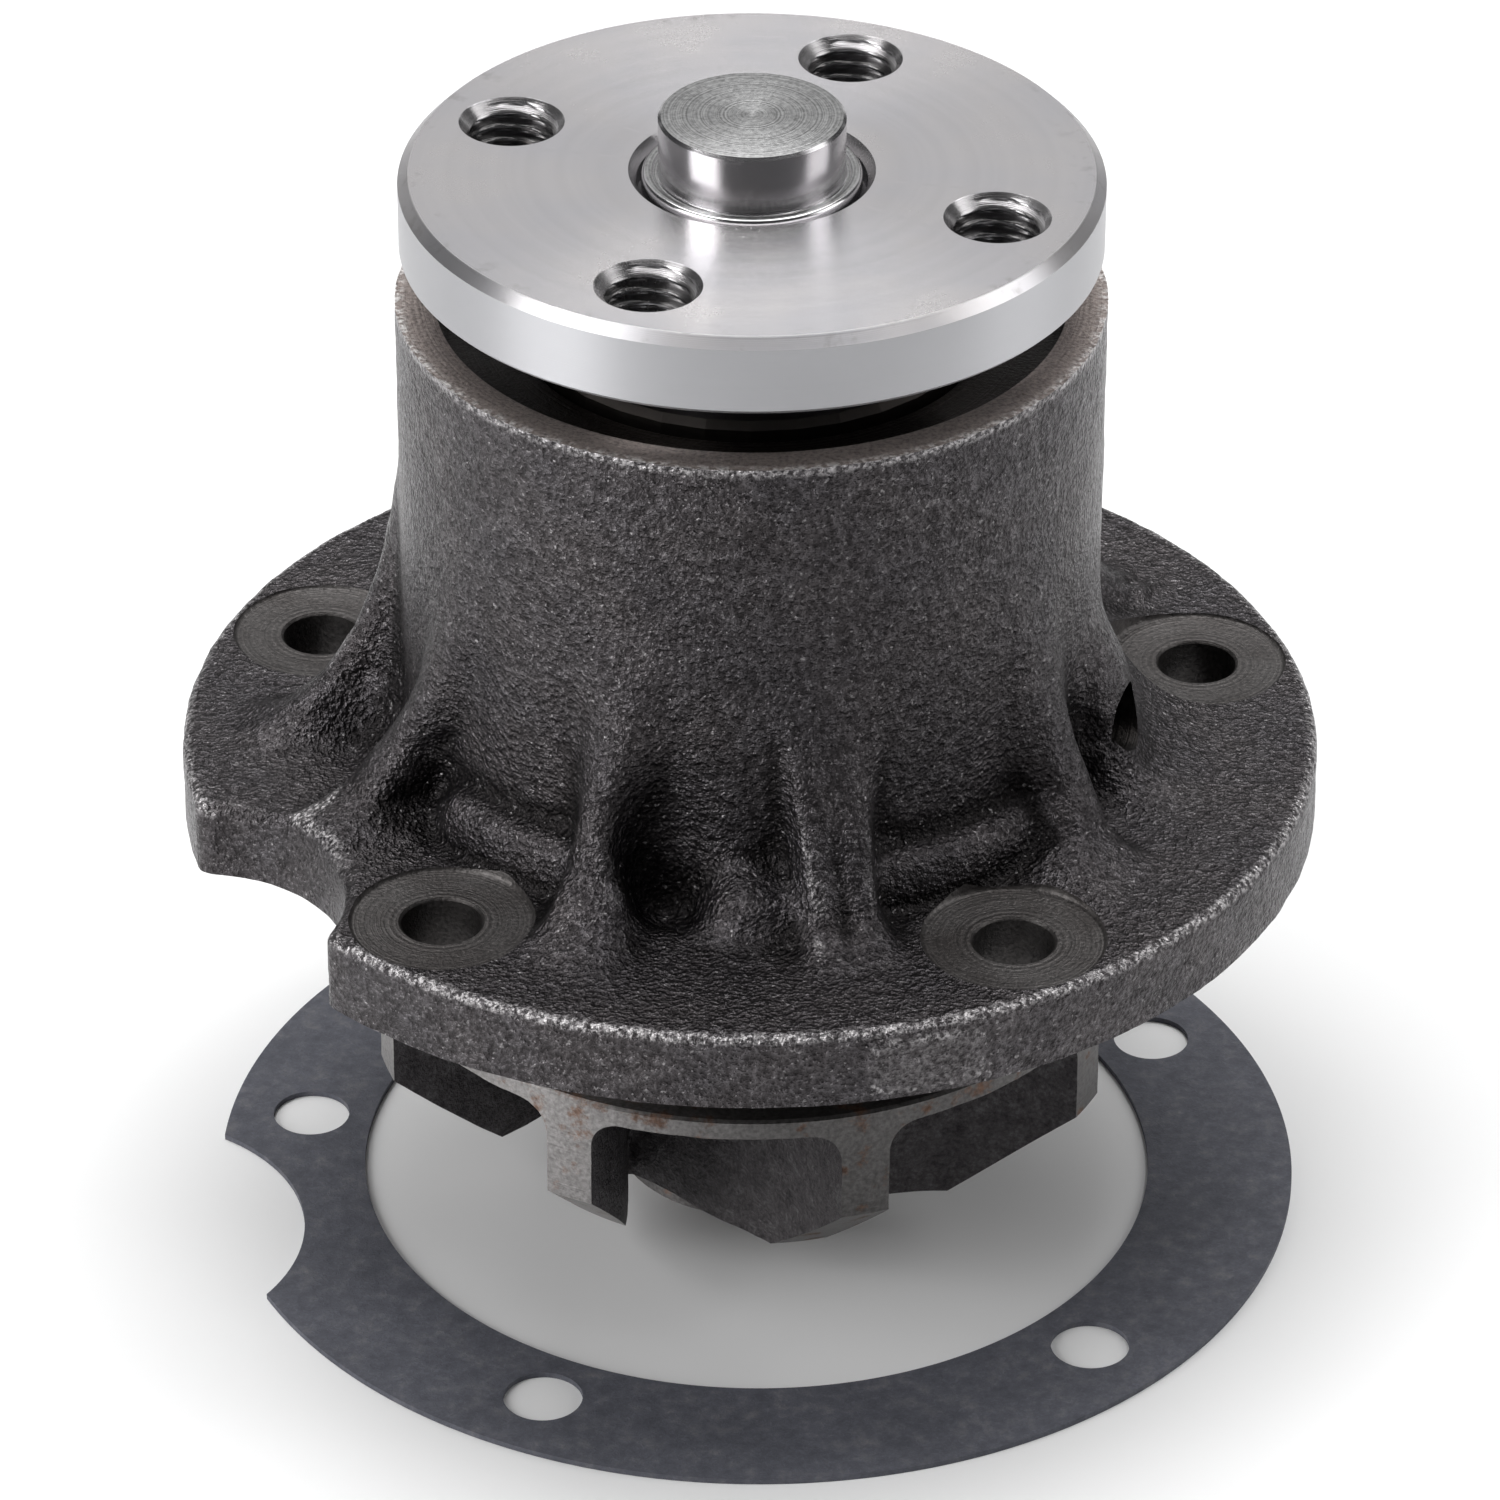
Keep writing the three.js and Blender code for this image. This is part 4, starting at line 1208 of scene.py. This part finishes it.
def area_light(name, angle, height, distance, size, power, target_z=0.06, colour=(1, 1, 1)):
    """A softbox at that angle round the pump and that angle above the floor, facing it."""
    data = bpy.data.lights.new(name, "AREA")
    data.shape = "RECTANGLE"
    data.size, data.size_y = size
    data.energy = power
    data.color = colour
    light = bpy.data.objects.new(name, data)
    bpy.context.scene.collection.objects.link(light)
    flat = distance * math.cos(math.radians(height))
    light.location = (
        flat * math.cos(math.radians(angle)),
        flat * math.sin(math.radians(angle)),
        target_z + distance * math.sin(math.radians(height)),
    )
    direction = Vector((0, 0, target_z)) - light.location
    light.rotation_euler = direction.to_track_quat("-Z", "Y").to_euler()
    return light


def make_studio():
    """A pale floor, two softboxes at the sides, a panel behind and a light overhead."""
    floor_look = Look("pale_floor", Roughness=0.6)
    haze = floor_look.grain(60, 2, 0.5)
    floor_look.feed("Base Color", floor_look.ramp(haze, (0.3, 0.89), (0.7, 0.91)))
    half = FLOOR_HALF
    corners = [(-half, -half, 0), (half, -half, 0), (half, half, 0), (-half, half, 0)]
    floor = mesh_object("studio_floor", corners, [(0, 1, 2, 3)], floor_look.material)
    floor.location.z = -FLOOR_DROP * MM
    world = bpy.data.worlds.new("studio")
    bpy.context.scene.world = world
    world.use_nodes = True
    background = next(n for n in world.node_tree.nodes if n.type == "BACKGROUND")
    background.inputs["Color"].default_value = (0.95, 0.97, 1.0, 1)
    background.inputs["Strength"].default_value = 0.05
    area_light("left_softbox", -152, 22, 0.9, (0.56, 0.8), 7.2)
    area_light("right_softbox", 0, 22, 0.9, (0.48, 0.8), 2.9)
    area_light("back_panel", 90, 33, 1.3, (2.2, 0.9), 4.2)
    area_light("overhead", 90, 76, 1.0, (1.1, 0.8), 12.5)
    bpy.context.scene.view_settings.view_transform = "Standard"


def make_camera():
    """The camera fitted to the bolt patterns and the turned edges."""
    data = bpy.data.cameras.new("camera")
    data.sensor_width = 36
    data.lens = CAMERA_LENS
    data.clip_start = 0.05
    data.clip_end = 20
    camera = bpy.data.objects.new("camera", data)
    bpy.context.scene.collection.objects.link(camera)
    tilt = Matrix.Rotation(math.radians(CAMERA_TILT), 4, "X")
    roll = Matrix.Rotation(math.radians(CAMERA_ROLL), 4, "Z")
    camera.matrix_world = Matrix.Translation(CAMERA_PLACE) @ tilt @ roll
    bpy.context.scene.camera = camera


# ---------- assembly ----------
make_housing(cast_iron(), machined_iron())
make_hub(turned_steel())
make_shaft(ground_steel())
make_impeller(impeller_cast(), impeller_turned())
make_gasket(fibre_paper())
finish_inner_parts()
make_studio()
make_camera()

bpy.context.view_layer.update()
